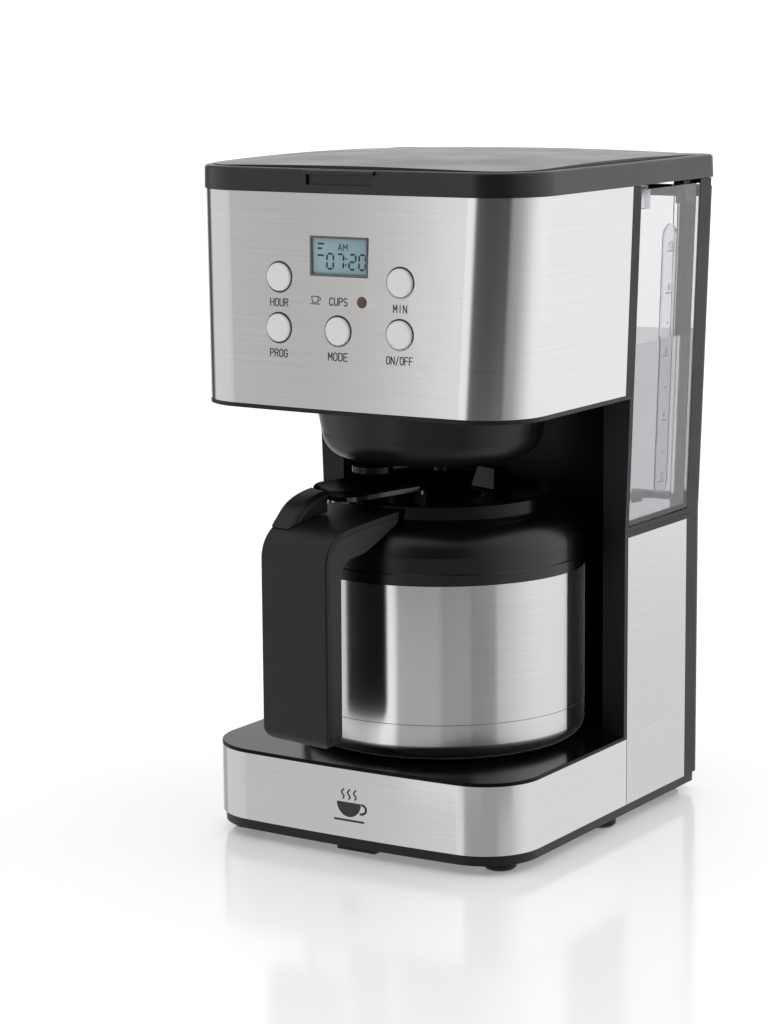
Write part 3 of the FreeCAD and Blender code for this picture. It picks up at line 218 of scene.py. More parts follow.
def metal(name, colour, rough, size=900.0, strength=0.15):
    """Plain metal with a fine even grain."""
    mat, tree, shader = new_material(name)
    shader.inputs["Metallic"].default_value = 1.0
    fine = noise(tree, size, 3.0, 0.6)
    tree.links.new(tint(tree, fine, [c * 0.88 for c in colour], colour), shader.inputs["Base Color"])
    tree.links.new(spread(tree, fine, rough * 0.8, rough * 1.25), shader.inputs["Roughness"])
    bump(tree, fine, strength, FINE_RELIEF, shader)
    return mat


LOOKS = {
    "wrap_steel": steel("wrap_steel", (0.62, 0.617, 0.61), 0.21, 0.08, 0.055),
    "panel_steel": steel("panel_steel", (0.55, 0.547, 0.54), 0.25, 0.1, 0.05),
    "jug_steel": steel("jug_steel", (0.62, 0.617, 0.61), 0.2, 0.05, 0.05, sheen=0.5),
    "flask_steel": metal("flask_steel", (0.66, 0.65, 0.64), 0.12),
    "black_satin": plastic("black_satin", (0.008, 0.008, 0.0085), 0.42, 0.2, specular=0.22),
    "black_trim": plastic("black_trim", (0.008, 0.008, 0.0085), 0.4, 0.2, specular=0.25),
    "lid_black": plastic("lid_black", (0.008, 0.008, 0.0085), 0.32, 0.2, specular=0.45),
    "deck_black": plastic("deck_black", (0.0015, 0.0015, 0.0016), 0.14, 0.04, specular=0.1),
    "bowl_black": plastic("bowl_black", (0.006, 0.006, 0.0065), 0.34, 0.15, specular=0.3),
    "basket_black": plastic("basket_black", (0.012, 0.012, 0.0125), 0.38, 0.15, specular=0.3),
    "handle_black": plastic("handle_black", (0.0065, 0.0065, 0.007), 0.4, 0.3, specular=0.28),
    "handle_inner": plastic("handle_inner", (0.018, 0.018, 0.019), 0.44, 0.3, specular=0.3),
    "collar_black": plastic("collar_black", (0.0015, 0.0015, 0.0017), 0.3, 0.2, specular=0.5),
    "jug_lid_black": plastic("jug_lid_black", (0.002, 0.002, 0.0022), 0.2, 0.05, specular=0.2),
    "lever_black": plastic("lever_black", (0.002, 0.002, 0.0023), 0.08, 0.03, specular=0.5),
    "foot_rubber": plastic("foot_rubber", (0.008, 0.008, 0.008), 0.6, 0.3, 1500.0, 0.2),
    "seal_silicone": plastic("seal_silicone", (0.5, 0.5, 0.48), 0.5, 0.1, 1500.0, lift=1.05),
    "hose_silicone": plastic("hose_silicone", (0.62, 0.61, 0.58), 0.42, 0.1, 1500.0, lift=1.05),
    "screw_steel": metal("screw_steel", (0.5, 0.5, 0.5), 0.3),
    "tank_clear": clear("tank_clear", (0.83, 0.83, 0.838), 1.4, 0.02, 0.05, 60.0),
    "gauge_clear": clear("gauge_clear", (0.78, 0.79, 0.83), 1.3, 0.06, 0.1, 90.0),
    "lug_clear": clear("lug_clear", (0.72, 0.73, 0.76), 1.2, 0.2, 0.1, 120.0),
    "heater_alloy": metal("heater_alloy", (0.62, 0.62, 0.63), 0.42, 500.0, 0.4),
    "bracket_steel": metal("bracket_steel", (0.48, 0.48, 0.48), 0.35),
    "thermostat_black": plastic("thermostat_black", (0.02, 0.02, 0.02), 0.45, specular=0.3),
    "fuse_metal": metal("fuse_metal", (0.6, 0.6, 0.6), 0.2),
    "button_satin": plastic("button_satin", (0.82, 0.82, 0.815), 0.3, 0.1, 2000.0, lift=1.04),
    "switch_black": plastic("switch_black", (0.015, 0.015, 0.015), 0.4, specular=0.3),
    "board_green": plastic("board_green", (0.02, 0.12, 0.05), 0.3),
    "display_rim": plastic("display_rim", (0.12, 0.125, 0.13), 0.3, 0.05, lift=1.05),
    "display_case": plastic("display_case", (0.05, 0.05, 0.055), 0.4),
    "lamp_red": plastic("lamp_red", (0.075, 0.03, 0.03), 0.22, 0.3, 1400.0, coat=0.4),
    "pin_steel": metal("pin_steel", (0.6, 0.6, 0.6), 0.22),
    "spring_steel": metal("spring_steel", (0.6, 0.6, 0.6), 0.25),
}


def crystal_face():
    """Reflective liquid-crystal panel: blue-grey, a little darker towards the right."""
    mat, tree, shader = new_material("display_face")
    low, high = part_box("display_window")
    coord = tree.nodes.new("ShaderNodeTexCoord")
    split = tree.nodes.new("ShaderNodeSeparateXYZ")
    tree.links.new(coord.outputs["Object"], split.inputs["Vector"])
    across = tree.nodes.new("ShaderNodeMapRange")
    across.inputs["From Min"].default_value = low[0]
    across.inputs["From Max"].default_value = high[0]
    tree.links.new(split.outputs["X"], across.inputs["Value"])
    speck = noise(tree, 2600.0, 1.0, 0.5)
    total = tree.nodes.new("ShaderNodeMath")
    total.operation = "MULTIPLY_ADD"
    total.inputs[1].default_value = 0.8
    tree.links.new(across.outputs["Result"], total.inputs[0])
    tree.links.new(spread(tree, speck, -0.06, 0.06), total.inputs[2])
    tree.links.new(tint(tree, total.outputs["Value"], (0.31, 0.46, 0.5), (0.22, 0.35, 0.395)),
                   shader.inputs["Base Color"])
    shader.inputs["Roughness"].default_value = 0.35
    shader.inputs["Coat Weight"].default_value = 0.6
    shader.inputs["Coat Roughness"].default_value = 0.05
    return mat


LOOKS["display_face"] = crystal_face()
slots = {entry["node"]: entry["material_slot"] for entry in frame["record"]["subparts"]}
for name, obj in frame["nodes"].items():
    look = LOOKS[slots[name]]
    if not obj.material_slots:
        obj.data.materials.append(look)
    for place in obj.material_slots:
        place.material = look

# this ink draws the print and also the painted shade rings round the buttons
PRINT_AND_SHADE_INK = plastic("ink_print_and_painted_rings", (0.03, 0.03, 0.032), 0.45, 0.05, specular=0.3)
CRYSTAL_INK = plastic("crystal_ink", (0.018, 0.03, 0.036), 0.3, 0.02, specular=0.3)
GAUGE_INK = plastic("gauge_ink", (0.12, 0.12, 0.13), 0.5, 0.05)
WATER = clear("water", (0.52, 0.522, 0.56), 1.16, 0.015, 0.35, 45.0)


# ---------------------------------------------------------------- printing on the front
AHEAD = -0.3    # rays at the front start this far ahead of the object, in metres


def ribbon(points, width, closed=False):
    """Flat strip of a given width along a line; returns quads as corner lists."""
    quads = []
    count = len(points)
    last = count if closed else count - 1
    for index in range(last):
        a = Vector(points[index])
        b = Vector(points[(index + 1) % count])
        along = (b - a)
        if along.length < 1e-9:
            continue
        along.normalize()
        side = Vector((-along.y, along.x)) * width / 2
        a = a - along * width * 0.3
        b = b + along * width * 0.3
        quads.append([a + side, a - side, b - side, b + side])
    return quads


def arc(cx, cz, rx, rz, start, stop, steps=14):
    """Points on an ellipse from one angle to another, in degrees."""
    out = []
    for index in range(steps + 1):
        angle = math.radians(start + (stop - start) * index / steps)
        out.append((cx + rx * math.cos(angle), cz + rz * math.sin(angle)))
    return out


LETTER_WIDE, LETTER_GAP = 0.62, 0.26


def letter_shapes():
    """Plain stroke letters in a box 0.62 wide and 1 high."""
    w = LETTER_WIDE
    m = w / 2
    round_o = arc(m, 0.7, m, 0.3, 0, 180) + arc(m, 0.3, m, 0.3, 180, 360)
    return {
        "H": [[(0, 0), (0, 1)], [(w, 0), (w, 1)], [(0, 0.5), (w, 0.5)]],
        "O": [round_o + [round_o[0]]],
        "U": [[(0, 1), (0, 0.3)] + arc(m, 0.3, m, 0.3, 180, 360) + [(w, 1)]],
        "R": [[(0, 0), (0, 1), (m, 1)] + arc(m, 0.76, m, 0.24, 90, -90) + [(0, 0.52)], [(m, 0.52), (w, 0)]],
        "M": [[(0, 0), (0, 1), (m, 0.35), (w, 1), (w, 0)]],
        "I": [[(m, 0), (m, 1)]],
        "N": [[(0, 0), (0, 1), (w, 0), (w, 1)]],
        "P": [[(0, 0), (0, 1), (m, 1)] + arc(m, 0.75, m, 0.25, 90, -90) + [(0, 0.5)]],
        "G": [arc(m, 0.7, m, 0.3, 20, 180) + arc(m, 0.3, m, 0.3, 180, 360) + [(w, 0.48), (m, 0.48)]],
        "D": [[(0, 0), (0, 1), (m * 0.8, 1)] + arc(m, 0.7, m, 0.3, 75, 0) + arc(m, 0.3, m, 0.3, 0, -75)
              + [(m * 0.8, 0), (0, 0)]],
        "E": [[(w, 1), (0, 1), (0, 0), (w, 0)], [(0, 0.52), (w * 0.85, 0.52)]],
        "F": [[(w, 1), (0, 1), (0, 0)], [(0, 0.52), (w * 0.85, 0.52)]],
        "C": [arc(m, 0.7, m, 0.3, 20, 180) + arc(m, 0.3, m, 0.3, 180, 340)],
        "S": [arc(m, 0.75, m, 0.25, 30, 270, 12) + arc(m, 0.25, m, 0.25, 90, -150, 12)],
        "A": [[(0, 0), (m, 1), (w, 0)], [(0.12, 0.33), (w - 0.12, 0.33)]],
        "/": [[(0.08, -0.08), (w - 0.08, 1.08)]],
        "0": [round_o + [round_o[0]]],
        "1": [[(0.1, 0.78), (m, 1), (m, 0)]],
        "2": [arc(m, 0.7, m, 0.3, 160, -20) + [(0, 0), (w, 0)]],
        "4": [[(w, 0.28), (0, 0.28), (w * 0.72, 1), (w * 0.72, 0)]],
        "6": [arc(m, 0.3, m, 0.3, 0, 360) + [(w * 0.3, 0.75), (w * 0.75, 1)]],
        "8": [arc(m, 0.74, m * 0.85, 0.24, 0, 360), arc(m, 0.26, m, 0.26, 0, 360)],
    }


LETTERS = letter_shapes()


def written(word, cx, cz, height, width, stroke):
    """Strokes of a word centred on a point, squeezed to a width."""
    step = LETTER_WIDE + LETTER_GAP
    total = len(word) * step - LETTER_GAP
    across = width / total
    quads = []
    for index, sign in enumerate(word):
        for line in LETTERS[sign]:
            placed = [(cx - width / 2 + (index * step + x) * across, cz - height / 2 + z * height) for x, z in line]
            quads += ribbon(placed, stroke)
    return quads


def front_print_and_shade(name, quads, skin, material, lift=0.04 * MM, fall=None):
    """Lay flat (x, z) shapes on a front-facing skin as a very thin raised print, also used for the painted shade rings;
    fall is the depth to use off it.
    """
    toward = Vector((0, 1, 0))
    thick = 0.03 * MM
    verts = []
    faces = []
    for quad in quads:
        ring = []
        for point in quad:
            hit = skin.ray_cast(Vector((point[0], AHEAD, point[1])), toward)[0]
            if hit is None or (fall is not None and hit.y > fall + 0.001):
                hit = Vector((point[0], fall if fall is not None else 0.0, point[1]))
            ring.append(hit)
        start = len(verts)
        size = len(ring)
        for item in ring:
            verts.append(item - toward * (lift + thick))
        for item in ring:
            verts.append(item - toward * lift)
        faces.append(tuple(start + i for i in range(size)))
        faces.append(tuple(start + size + i for i in reversed(range(size))))
        for i in range(size):
            j = (i + 1) % size
            faces.append((start + i, start + size + i, start + size + j, start + j))
    obj = mesh_piece(name, verts, faces, "housing", material)
    face_outwards(obj)


head_skin = surface("head_steel_wrap")
LABELS = (
    ("hour_button", "HOUR", 10.6), ("minute_button", "MIN", 7.4), ("program_button", "PROG", 10.4),
    ("mode_button", "MODE", 11.2), ("power_button", "ON/OFF", 14.6))
LABEL_DROP, LABEL_HIGH, LABEL_STROKE = 12.6 * MM, 3.7 * MM, 0.52 * MM
label_quads = []
for node, word, width in LABELS:
    cx, cy, cz = centre(node)
    label_quads += written(word, cx, cz - LABEL_DROP, LABEL_HIGH, width * MM, LABEL_STROKE)
lamp = centre("power_lamp")
label_quads += written("CUPS", lamp[0] - 13.6 * MM, lamp[2] - 0.3 * MM, LABEL_HIGH, 10.2 * MM, LABEL_STROKE)
cup_x = lamp[0] - 27.3 * MM
cup_z = lamp[2] + 0.1 * MM
cup = [(-2.1, 1.7), (-1.6, -1.2), (1.4, -1.2), (1.9, 1.7)]
label_quads += ribbon([(cup_x + x * MM, cup_z + z * MM) for x, z in cup], 0.42 * MM, True)
label_quads += ribbon([(cup_x + x * MM, cup_z + z * MM) for x, z in ((-2.6, -2.0), (2.4, -2.0))], 0.5 * MM)
label_quads += ribbon(arc(cup_x + 1.9 * MM, cup_z + 0.5 * MM, 1.2 * MM, 0.9 * MM, 90, -90, 8), 0.4 * MM)
front_print_and_shade("panel_print", label_quads, head_skin, PRINT_AND_SHADE_INK)

# painted shade: a dark ink ring round each button, where the gap's shade falls
GAP_INNER, GAP_OUTER, GAP_STEPS = 7.1, 7.9, 40
for node, word, width in LABELS:
    cx, cy, cz = centre(node)
    ring_shade_quads = []
    for step in range(GAP_STEPS):
        edge = []
        for turn_by, reach in ((step, GAP_INNER), (step + 1, GAP_INNER), (step + 1, GAP_OUTER), (step, GAP_OUTER)):
            angle = 2 * math.pi * turn_by / GAP_STEPS
            edge.append(Vector((cx + reach * MM * math.cos(angle), cz + reach * MM * math.sin(angle))))
        ring_shade_quads.append(edge)
    beside = head_skin.ray_cast(Vector((cx + 8.3 * MM, AHEAD, cz)), Vector((0, 1, 0)))[0]
    front_print_and_shade(node + "_gap_shade", ring_shade_quads, head_skin, PRINT_AND_SHADE_INK, 0.05 * MM, fall=beside.y)

# plain steaming-cup mark on the base
base_skin = surface("base_steel_wrap")
base_low, base_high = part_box("base_steel_wrap")
mark_x = 1.3 * MM
mark_z = (base_low[2] + base_high[2]) / 2 - 1.5 * MM
mark = []
bowl_side = arc(0, 2.2, 7.2, 7.6, 180, 360, 20)
for index in range(len(bowl_side) - 1):
    a = bowl_side[index]
    b = bowl_side[index + 1]
    mark.append([Vector((a[0], 2.2)), Vector((a[0], a[1])), Vector((b[0], b[1])), Vector((b[0], 2.2))])
mark += ribbon(arc(7.0, -0.6, 3.2, 2.5, 75, -95, 12), 1.1)
mark += ribbon([(-8.6, -7.2), (8.6, -7.2)], 1.1)
for shift in (-3.6, 0.0, 3.6):
    steam = [(shift + 0.7 * math.sin(step * 0.9), 3.9 + step * 0.62) for step in range(9)]
    mark += ribbon(steam, 0.8)
placed = []
for quad in mark:
    placed.append([Vector((mark_x + p[0] * MM, mark_z + p[1] * MM)) for p in quad])
front_print_and_shade("cup_mark", placed, base_skin, PRINT_AND_SHADE_INK)

# ---------------------------------------------------------------- clock display
SEGMENTS = {"0": "abcdef", "2": "abged", "7": "abc"}


def segment_digit(sign, x, z, wide, tall, stroke, lean):
    """Seven-segment digit; each bar is a six-cornered lozenge."""
    half = tall / 2
    ends = {
        "a": ((0, tall), (wide, tall)), "b": ((wide, tall), (wide, half)), "c": ((wide, half), (wide, 0)),
        "d": ((0, 0), (wide, 0)), "e": ((0, half), (0, 0)), "f": ((0, tall), (0, half)), "g": ((0, half), (wide, half))}
    shapes = []
    for key in SEGMENTS[sign]:
        a = Vector(ends[key][0])
        b = Vector(ends[key][1])
        along = (b - a).normalized()
        side = Vector((-along.y, along.x)) * stroke / 2
        gap = along * stroke * 0.32
        a = a + gap
        b = b - gap
        ring = [a, a + along * stroke / 2 + side, b - along * stroke / 2 + side, b,
                b - along * stroke / 2 - side, a + along * stroke / 2 - side]
        shapes.append([Vector((x + p.x + p.y * lean, z + p.y)) for p in ring])
    return shapes


window_low, window_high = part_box("display_window")
window_skin = surface("display_window")
digit_wide = 3.7 * MM
digit_tall = 7.3 * MM
digit_stroke = 0.95 * MM
LEAN = 0.04
digit_z = window_low[2] + 2.6 * MM
digits = []
x = window_low[0] + 8.2 * MM
for sign in "07":
    digits += segment_digit(sign, x, digit_z, digit_wide, digit_tall, digit_stroke, LEAN)
    x += 5.9 * MM
colon_x = x - 0.6 * MM
for z in (digit_z + 2.1 * MM, digit_z + 5.2 * MM):
    digits += [[Vector((colon_x + dx * MM, z + dz * MM)) for dx, dz in
                ((-0.45, -0.45), (0.45, -0.45), (0.45, 0.45), (-0.45, 0.45))]]
x += 1.2 * MM
for sign in "20":
    digits += segment_digit(sign, x, digit_z, digit_wide, digit_tall, digit_stroke, LEAN)
    x += 5.7 * MM
digits += written("AM", window_low[0] + 17.6 * MM, window_high[2] - 4.0 * MM, 2.9 * MM, 5.4 * MM, 0.42 * MM)
for row, length in ((2.6, 3.8), (4.9, 2.6), (8.3, 3.6)):
    for dash in range(3):
        start = window_low[0] + 3.2 * MM + dash * length * MM / 3
        level = window_high[2] - row * MM
        digits += ribbon([(start, level), (start + length * MM / 3 - 0.5 * MM, level)], 0.9 * MM)
front_print_and_shade("display_digits", digits, window_skin, CRYSTAL_INK, 0.03 * MM)

# ---------------------------------------------------------------- water in the tank
SEAM, LID_LINE = 155.0, 333.8
LOW_HALF, HIGH_HALF = 92.7, 99.0
TANK_FRONT, SIDE_BACK, TANK_BACK, POST = 29.4, 96.4, 112.0, 13.0
BITE, JUG_AXIS, GROOVE_HALF, GROOVE_BACK = 92.8, -3.0, 8.6, 100.8
CLEAR = 2.7


def water_plan(z):
    """Outline of the water at one height, in millimetres."""
    half = LOW_HALF + (z - SEAM) * (HIGH_HALF - LOW_HALF) / (LID_LINE - SEAM) - CLEAR
    slim = half - POST
    front = TANK_FRONT + CLEAR
    side_back = SIDE_BACK - CLEAR
    back = TANK_BACK - CLEAR
    bite = BITE + 0.3
    groove = GROOVE_HALF + 0.3
    low_angle = math.asin((front - JUG_AXIS) / bite)
    high_angle = math.acos(groove / bite)
    plan = [(half, front), (half, side_back), (slim, side_back), (slim, back),
            (-slim, back), (-slim, side_back), (-half, side_back), (-half, front)]
    for step in range(25):
        angle = math.pi - (low_angle + (high_angle - low_angle) * step / 24)
        plan.append((bite * math.cos(angle), JUG_AXIS + bite * math.sin(angle)))
    plan += [(-groove, GROOVE_BACK + 0.3), (groove, GROOVE_BACK + 0.3)]
    for step in range(25):
        angle = high_angle + (low_angle - high_angle) * step / 24
        plan.append((bite * math.cos(angle), JUG_AXIS + bite * math.sin(angle)))
    return plan


WATER_LOW, WATER_TOP = 161.3, 252.5
levels = [WATER_LOW, WATER_LOW + 30, WATER_LOW + 60, WATER_TOP - 0.8, WATER_TOP]
rings = [water_plan(z) for z in levels]
count = len(rings[0])
verts = []
for z, ring in zip(levels, rings):
    for px, py in ring:
        verts.append((px * MM, py * MM, z * MM))
faces = []
for level in range(len(levels) - 1):
    for i in range(count):
        j = (i + 1) % count
        faces.append((level * count + i, level * count + j, (level + 1) * count + j, (level + 1) * count + i))
faces.append(tuple(reversed(range(count))))
faces.append(tuple((len(levels) - 1) * count + i for i in range(count)))
water = mesh_piece("tank_water", verts, faces, "housing", WATER)
face_outwards(water, split_large=True)

# ---------------------------------------------------------------- level marks on the gauge
gauge_skin = surface("level_gauge")
gauge_low, gauge_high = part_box("level_gauge")
gauge_mid = (gauge_low[1] + gauge_high[1]) / 2


def gauge_print(name, quads):
    """Lay (y, z) shapes on the gauge's outer face."""
    verts = []
    faces = []
    for quad in quads:
        start = len(verts)
        for layer in (0.09, 0.06):
            for point in quad:
                hit = gauge_skin.ray_cast(Vector((0.2, point[0], point[1])), Vector((-1, 0, 0)))[0]
                if hit is None:
                    hit = Vector((gauge_high[0] - 2 * MM, point[0], point[1]))
                verts.append(hit + Vector((layer * MM, 0, 0)))
        faces.append((start, start + 1, start + 2, start + 3))
        faces.append((start + 7, start + 6, start + 5, start + 4))
        for i in range(4):
            j = (i + 1) % 4
            faces.append((start + i, start + 4 + i, start + 4 + j, start + j))
    obj = mesh_piece(name, verts, faces, "housing", GAUGE_INK)
    face_outwards(obj)


marks = []
for level, word in ((297.9, "10"), (276.1, "8"), (243.2, "6"), (209.3, "4"), (176.7, "2")):
    z = level * MM
    marks += ribbon([(gauge_mid - 3.2 * MM, z), (gauge_mid + 3.2 * MM, z)], 0.55 * MM)
    width = 4.4 if len(word) == 2 else 2.1
    marks += written(word, gauge_mid, z + 3.0 * MM, 3.4 * MM, width * MM, 0.45 * MM)
for level in (260.4, 226.5, 192.7):
    marks += ribbon([(gauge_mid - 0.5 * MM, level * MM), (gauge_mid + 0.5 * MM, level * MM)], 0.8 * MM)
gauge_print("gauge_marks", marks)

# ---------------------------------------------------------------- drip stop spring: a coil that rides on the drip valve in place of the CAD spring
COIL_RADIUS, COIL_WIRE, COIL_TURNS = 5.0 * MM, 0.45 * MM, 8.4 / 2.2
STEPS_ROUND, STEPS_WIRE = 96, 10
spring_low, spring_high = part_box("drip_stop_spring")
spring_middle = centre("drip_stop_spring")
tall = spring_high[2] - spring_low[2]
first = spring_low[2] + COIL_WIRE
steps = round(STEPS_ROUND * COIL_TURNS)
verts, faces = [], []
for step in range(steps + 1):
    turned_by = 2 * math.pi * COIL_TURNS * step / steps
    height = first + (tall - 2 * COIL_WIRE) * step / steps
    for spot in range(STEPS_WIRE):
        around_wire = 2 * math.pi * spot / STEPS_WIRE
        reach = COIL_RADIUS + COIL_WIRE * math.cos(around_wire)
        verts.append((spring_middle[0] + reach * math.cos(turned_by), spring_middle[1] + reach * math.sin(turned_by),
                      height + COIL_WIRE * math.sin(around_wire)))
for step in range(steps):
    for spot in range(STEPS_WIRE):
        after = (spot + 1) % STEPS_WIRE
        faces.append((step * STEPS_WIRE + spot, (step + 1) * STEPS_WIRE + spot,
                      (step + 1) * STEPS_WIRE + after, step * STEPS_WIRE + after))
faces.append(tuple(range(STEPS_WIRE)))
faces.append(tuple(steps * STEPS_WIRE + spot for spot in reversed(range(STEPS_WIRE))))
coil = mesh_piece("spring_coil", verts, faces, "drip_valve", LOOKS["spring_steel"], smooth=True)
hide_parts("drip_stop_spring")
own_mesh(coil)

# ---------------------------------------------------------------- floor
def flat_sheet(name, corners, material):
    """One flat quad for the stage."""
    mesh = bpy.data.meshes.new(name)
    mesh.from_pydata(corners, [], [(0, 1, 2, 3)])
    obj = bpy.data.objects.new(name, mesh)
    bpy.context.collection.objects.link(obj)
    mesh.materials.append(material)
    return obj


FLOOR_HALF, FLOOR_Z = 14.0, -0.0003    # metres
floor_mat, _, floor_shader = new_material("floor_white")
floor_shader.inputs["Base Color"].default_value = (0.9, 0.9, 0.9, 1)
floor_shader.inputs["Roughness"].default_value = 0.14
floor_shader.inputs["Specular IOR Level"].default_value = 0.3
floor_shader.inputs["Emission Color"].default_value = (1, 1, 1, 1)
floor_shader.inputs["Emission Strength"].default_value = 0.22
floor = flat_sheet("floor", [(-FLOOR_HALF, -FLOOR_HALF, FLOOR_Z), (FLOOR_HALF, -FLOOR_HALF, FLOOR_Z),
                             (FLOOR_HALF, FLOOR_HALF, FLOOR_Z), (-FLOOR_HALF, FLOOR_HALF, FLOOR_Z)], floor_mat)
floor.visible_glossy = False


# ---------------------------------------------------------------- painted reflections: glowing sheets seen only in reflections, under the floor
def glow_sheet(name, corners, level, share=None):
    """Glowing quad seen only in reflections, where it paints a reflection; share is how much of what lies behind it is
    covered.
    """
    mat = bpy.data.materials.new(name)
    mat.use_nodes = True
    tree = mat.node_tree
    tree.nodes.clear()
    glow = tree.nodes.new("ShaderNodeEmission")
    glow.inputs["Color"].default_value = (1, 1, 1, 1)
    glow.inputs["Strength"].default_value = level
    end = tree.nodes.new("ShaderNodeOutputMaterial")
    if share is None:
        tree.links.new(glow.outputs["Emission"], end.inputs["Surface"])
    else:
        passing = tree.nodes.new("ShaderNodeBsdfTransparent")
        blend = tree.nodes.new("ShaderNodeMixShader")
        blend.inputs["Fac"].default_value = share
        tree.links.new(passing.outputs["BSDF"], blend.inputs[1])
        tree.links.new(glow.outputs["Emission"], blend.inputs[2])
        tree.links.new(blend.outputs["Shader"], end.inputs["Surface"])
    obj = flat_sheet(name, corners, mat)
    obj.visible_camera = False
    obj.visible_diffuse = False
    obj.visible_transmission = False
    obj.visible_shadow = False
    return obj


NEAR_Z, STRIP_Z = -0.0006, -0.0005
# painted reflection: a dim glowing sheet that the steel reflects, as the floor itself is hidden from reflections
near_corners = [(-0.85, -0.95, NEAR_Z), (0.95, -0.95, NEAR_Z), (0.95, 0.7, NEAR_Z), (-0.85, 0.7, NEAR_Z)]
near = glow_sheet("painted_reflection_near", near_corners, 0.86, share=0.55)

# painted glint, shade and soft reflection strips at compass angles of the jug's reflections: name, from, to, nearest,
# furthest, level
JUG_CENTRE_Y, JUG_RADIUS, SIGHT = -3.0 * MM, 75.0 * MM, 31.0
STRIPS = (("table_glint", -20.0, -5.5, 0.19, 0.95, 1.5), ("table_shade", 54.0, 75.0, 0.2, 0.95, 0.33),
          ("table_soft", -4.0, 30.0, 0.2, 0.95, 0.68))
for name, start_at, end_at, close, far, level in STRIPS:
    corners = []
    for angle, reach in ((start_at, close), (start_at, far), (end_at, far), (end_at, close)):
        facing = math.radians((angle + SIGHT) / 2)
        heading = math.radians(angle)
        corners.append((JUG_RADIUS * math.sin(facing) + reach * math.sin(heading),
                        JUG_CENTRE_Y - JUG_RADIUS * math.cos(facing) - reach * math.cos(heading), STRIP_Z))
    strip = glow_sheet(name, corners, level)

# ---------------------------------------------------------------- studio
world = bpy.data.worlds.new("studio")
bpy.context.scene.world = world
world.use_nodes = True
tree = world.node_tree
tree.nodes.clear()
coord = tree.nodes.new("ShaderNodeTexCoord")
split = tree.nodes.new("ShaderNodeSeparateXYZ")
tree.links.new(coord.outputs["Generated"], split.inputs["Vector"])
flip = tree.nodes.new("ShaderNodeMath")
flip.operation = "MULTIPLY"
flip.inputs[1].default_value = -1.0
tree.links.new(split.outputs["Y"], flip.inputs[0])
turn = tree.nodes.new("ShaderNodeMath")
turn.operation = "ARCTAN2"
tree.links.new(split.outputs["X"], turn.inputs[0])
tree.links.new(flip.outputs["Value"], turn.inputs[1])
around = tree.nodes.new("ShaderNodeMapRange")
around.inputs["From Min"].default_value = -math.pi
around.inputs["From Max"].default_value = math.pi
tree.links.new(turn.outputs["Value"], around.inputs["Value"])
ramp = tree.nodes.new("ShaderNodeValToRGB")
tree.links.new(around.outputs["Result"], ramp.inputs["Fac"])
WALL_LIGHT, BACKDROP_LIGHT = 1.4, 1.1
CEILING_GREY, CEILING_FROM, CEILING_TO = 0.72, 0.6, 0.9
WALLS = (   # degrees round from the front, brightness
    (-180, 1.2), (-124, 1.1), (-121, 0.1), (-102, 0.1), (-99, 0.95), (-50, 0.95), (-40, 0.67), (-33, 0.66), (-29, 0.82),
    (-26.5, 1.1), (-24, 1.35), (-11, 1.35), (-7, 0.13), (15, 0.09), (53, 0.07), (57, 0.4), (67, 0.5), (76, 0.6),
    (84, 0.75), (92, 0.95), (101, 1.15), (109, 1.28), (126, 1.38), (152, 1.28), (180, 1.2))
while len(ramp.color_ramp.elements) > 1:
    ramp.color_ramp.elements.remove(ramp.color_ramp.elements[0])
for index, (angle, level) in enumerate(WALLS):
    position = (angle + 180.0) / 360.0
    item = ramp.color_ramp.elements[0] if index == 0 else ramp.color_ramp.elements.new(position)
    item.position = position
    item.color = (level / WALL_LIGHT, level / WALL_LIGHT, level / WALL_LIGHT, 1)
ceiling = tree.nodes.new("ShaderNodeMapRange")
ceiling.interpolation_type = "SMOOTHSTEP"
ceiling.inputs["From Min"].default_value = CEILING_FROM
ceiling.inputs["From Max"].default_value = CEILING_TO
tree.links.new(split.outputs["Z"], ceiling.inputs["Value"])
roof = tree.nodes.new("ShaderNodeMix")
roof.data_type = "RGBA"
roof.inputs["B"].default_value = (CEILING_GREY, CEILING_GREY, CEILING_GREY, 1)
tree.links.new(ceiling.outputs["Result"], roof.inputs["Factor"])
tree.links.new(ramp.outputs["Color"], roof.inputs["A"])
studio = tree.nodes.new("ShaderNodeBackground")
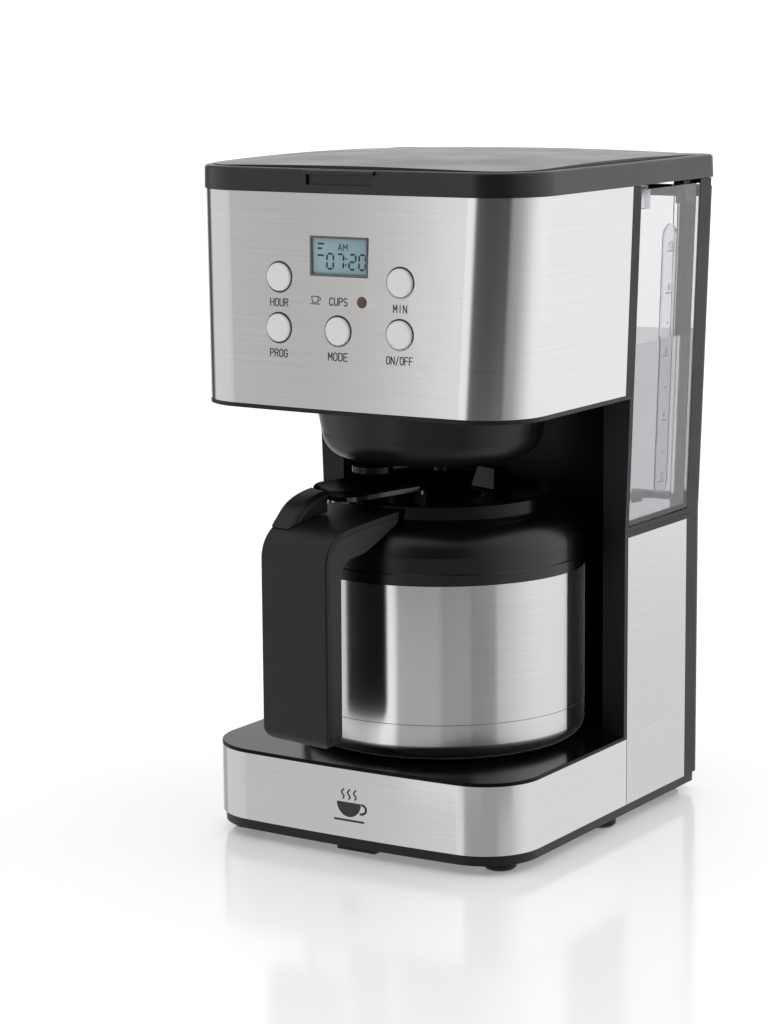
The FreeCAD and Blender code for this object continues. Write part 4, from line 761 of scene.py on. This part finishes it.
tree.links.new(roof.outputs["Result"], studio.inputs["Color"])
studio.inputs["Strength"].default_value = WALL_LIGHT
backdrop = tree.nodes.new("ShaderNodeBackground")
backdrop.inputs["Color"].default_value = (1, 1, 1, 1)
backdrop.inputs["Strength"].default_value = BACKDROP_LIGHT
path = tree.nodes.new("ShaderNodeLightPath")
seen = tree.nodes.new("ShaderNodeMath")
seen.operation = "MAXIMUM"
tree.links.new(path.outputs["Is Camera Ray"], seen.inputs[0])
tree.links.new(path.outputs["Is Transmission Ray"], seen.inputs[1])
choose = tree.nodes.new("ShaderNodeMixShader")
tree.links.new(seen.outputs["Value"], choose.inputs["Fac"])
tree.links.new(studio.outputs["Background"], choose.inputs[1])
tree.links.new(backdrop.outputs["Background"], choose.inputs[2])
output = tree.nodes.new("ShaderNodeOutputWorld")
tree.links.new(choose.outputs["Shader"], output.inputs["Surface"])

bpy.context.scene.view_settings.view_transform = "Standard"

# ---------------------------------------------------------------- camera
CAMERA_AT = Vector((0.7795, -1.28758, 0.4238))
AZIMUTH, ELEVATION, ROLL = math.radians(32.4), math.radians(9.84), math.radians(-0.45)
back = Vector((math.sin(AZIMUTH) * math.cos(ELEVATION), -math.cos(AZIMUTH) * math.cos(ELEVATION), math.sin(ELEVATION)))
right = Vector((math.cos(AZIMUTH), math.sin(AZIMUTH), 0))
up = back.cross(right)
right_rolled = right * math.cos(ROLL) + up * math.sin(ROLL)
up_rolled = up * math.cos(ROLL) - right * math.sin(ROLL)
turned = Matrix((right_rolled, up_rolled, back)).transposed().to_4x4()
LENS_MM, SENSOR_MM, CLIP_FROM, CLIP_TO = 102.6, 36.0, 0.05, 60.0
lens = bpy.data.cameras.new("camera")
lens.lens = LENS_MM
lens.sensor_width = SENSOR_MM
lens.clip_start, lens.clip_end = CLIP_FROM, CLIP_TO
camera = bpy.data.objects.new("camera", lens)
bpy.context.collection.objects.link(camera)
camera.matrix_world = Matrix.Translation(CAMERA_AT) @ turned
bpy.context.scene.camera = camera
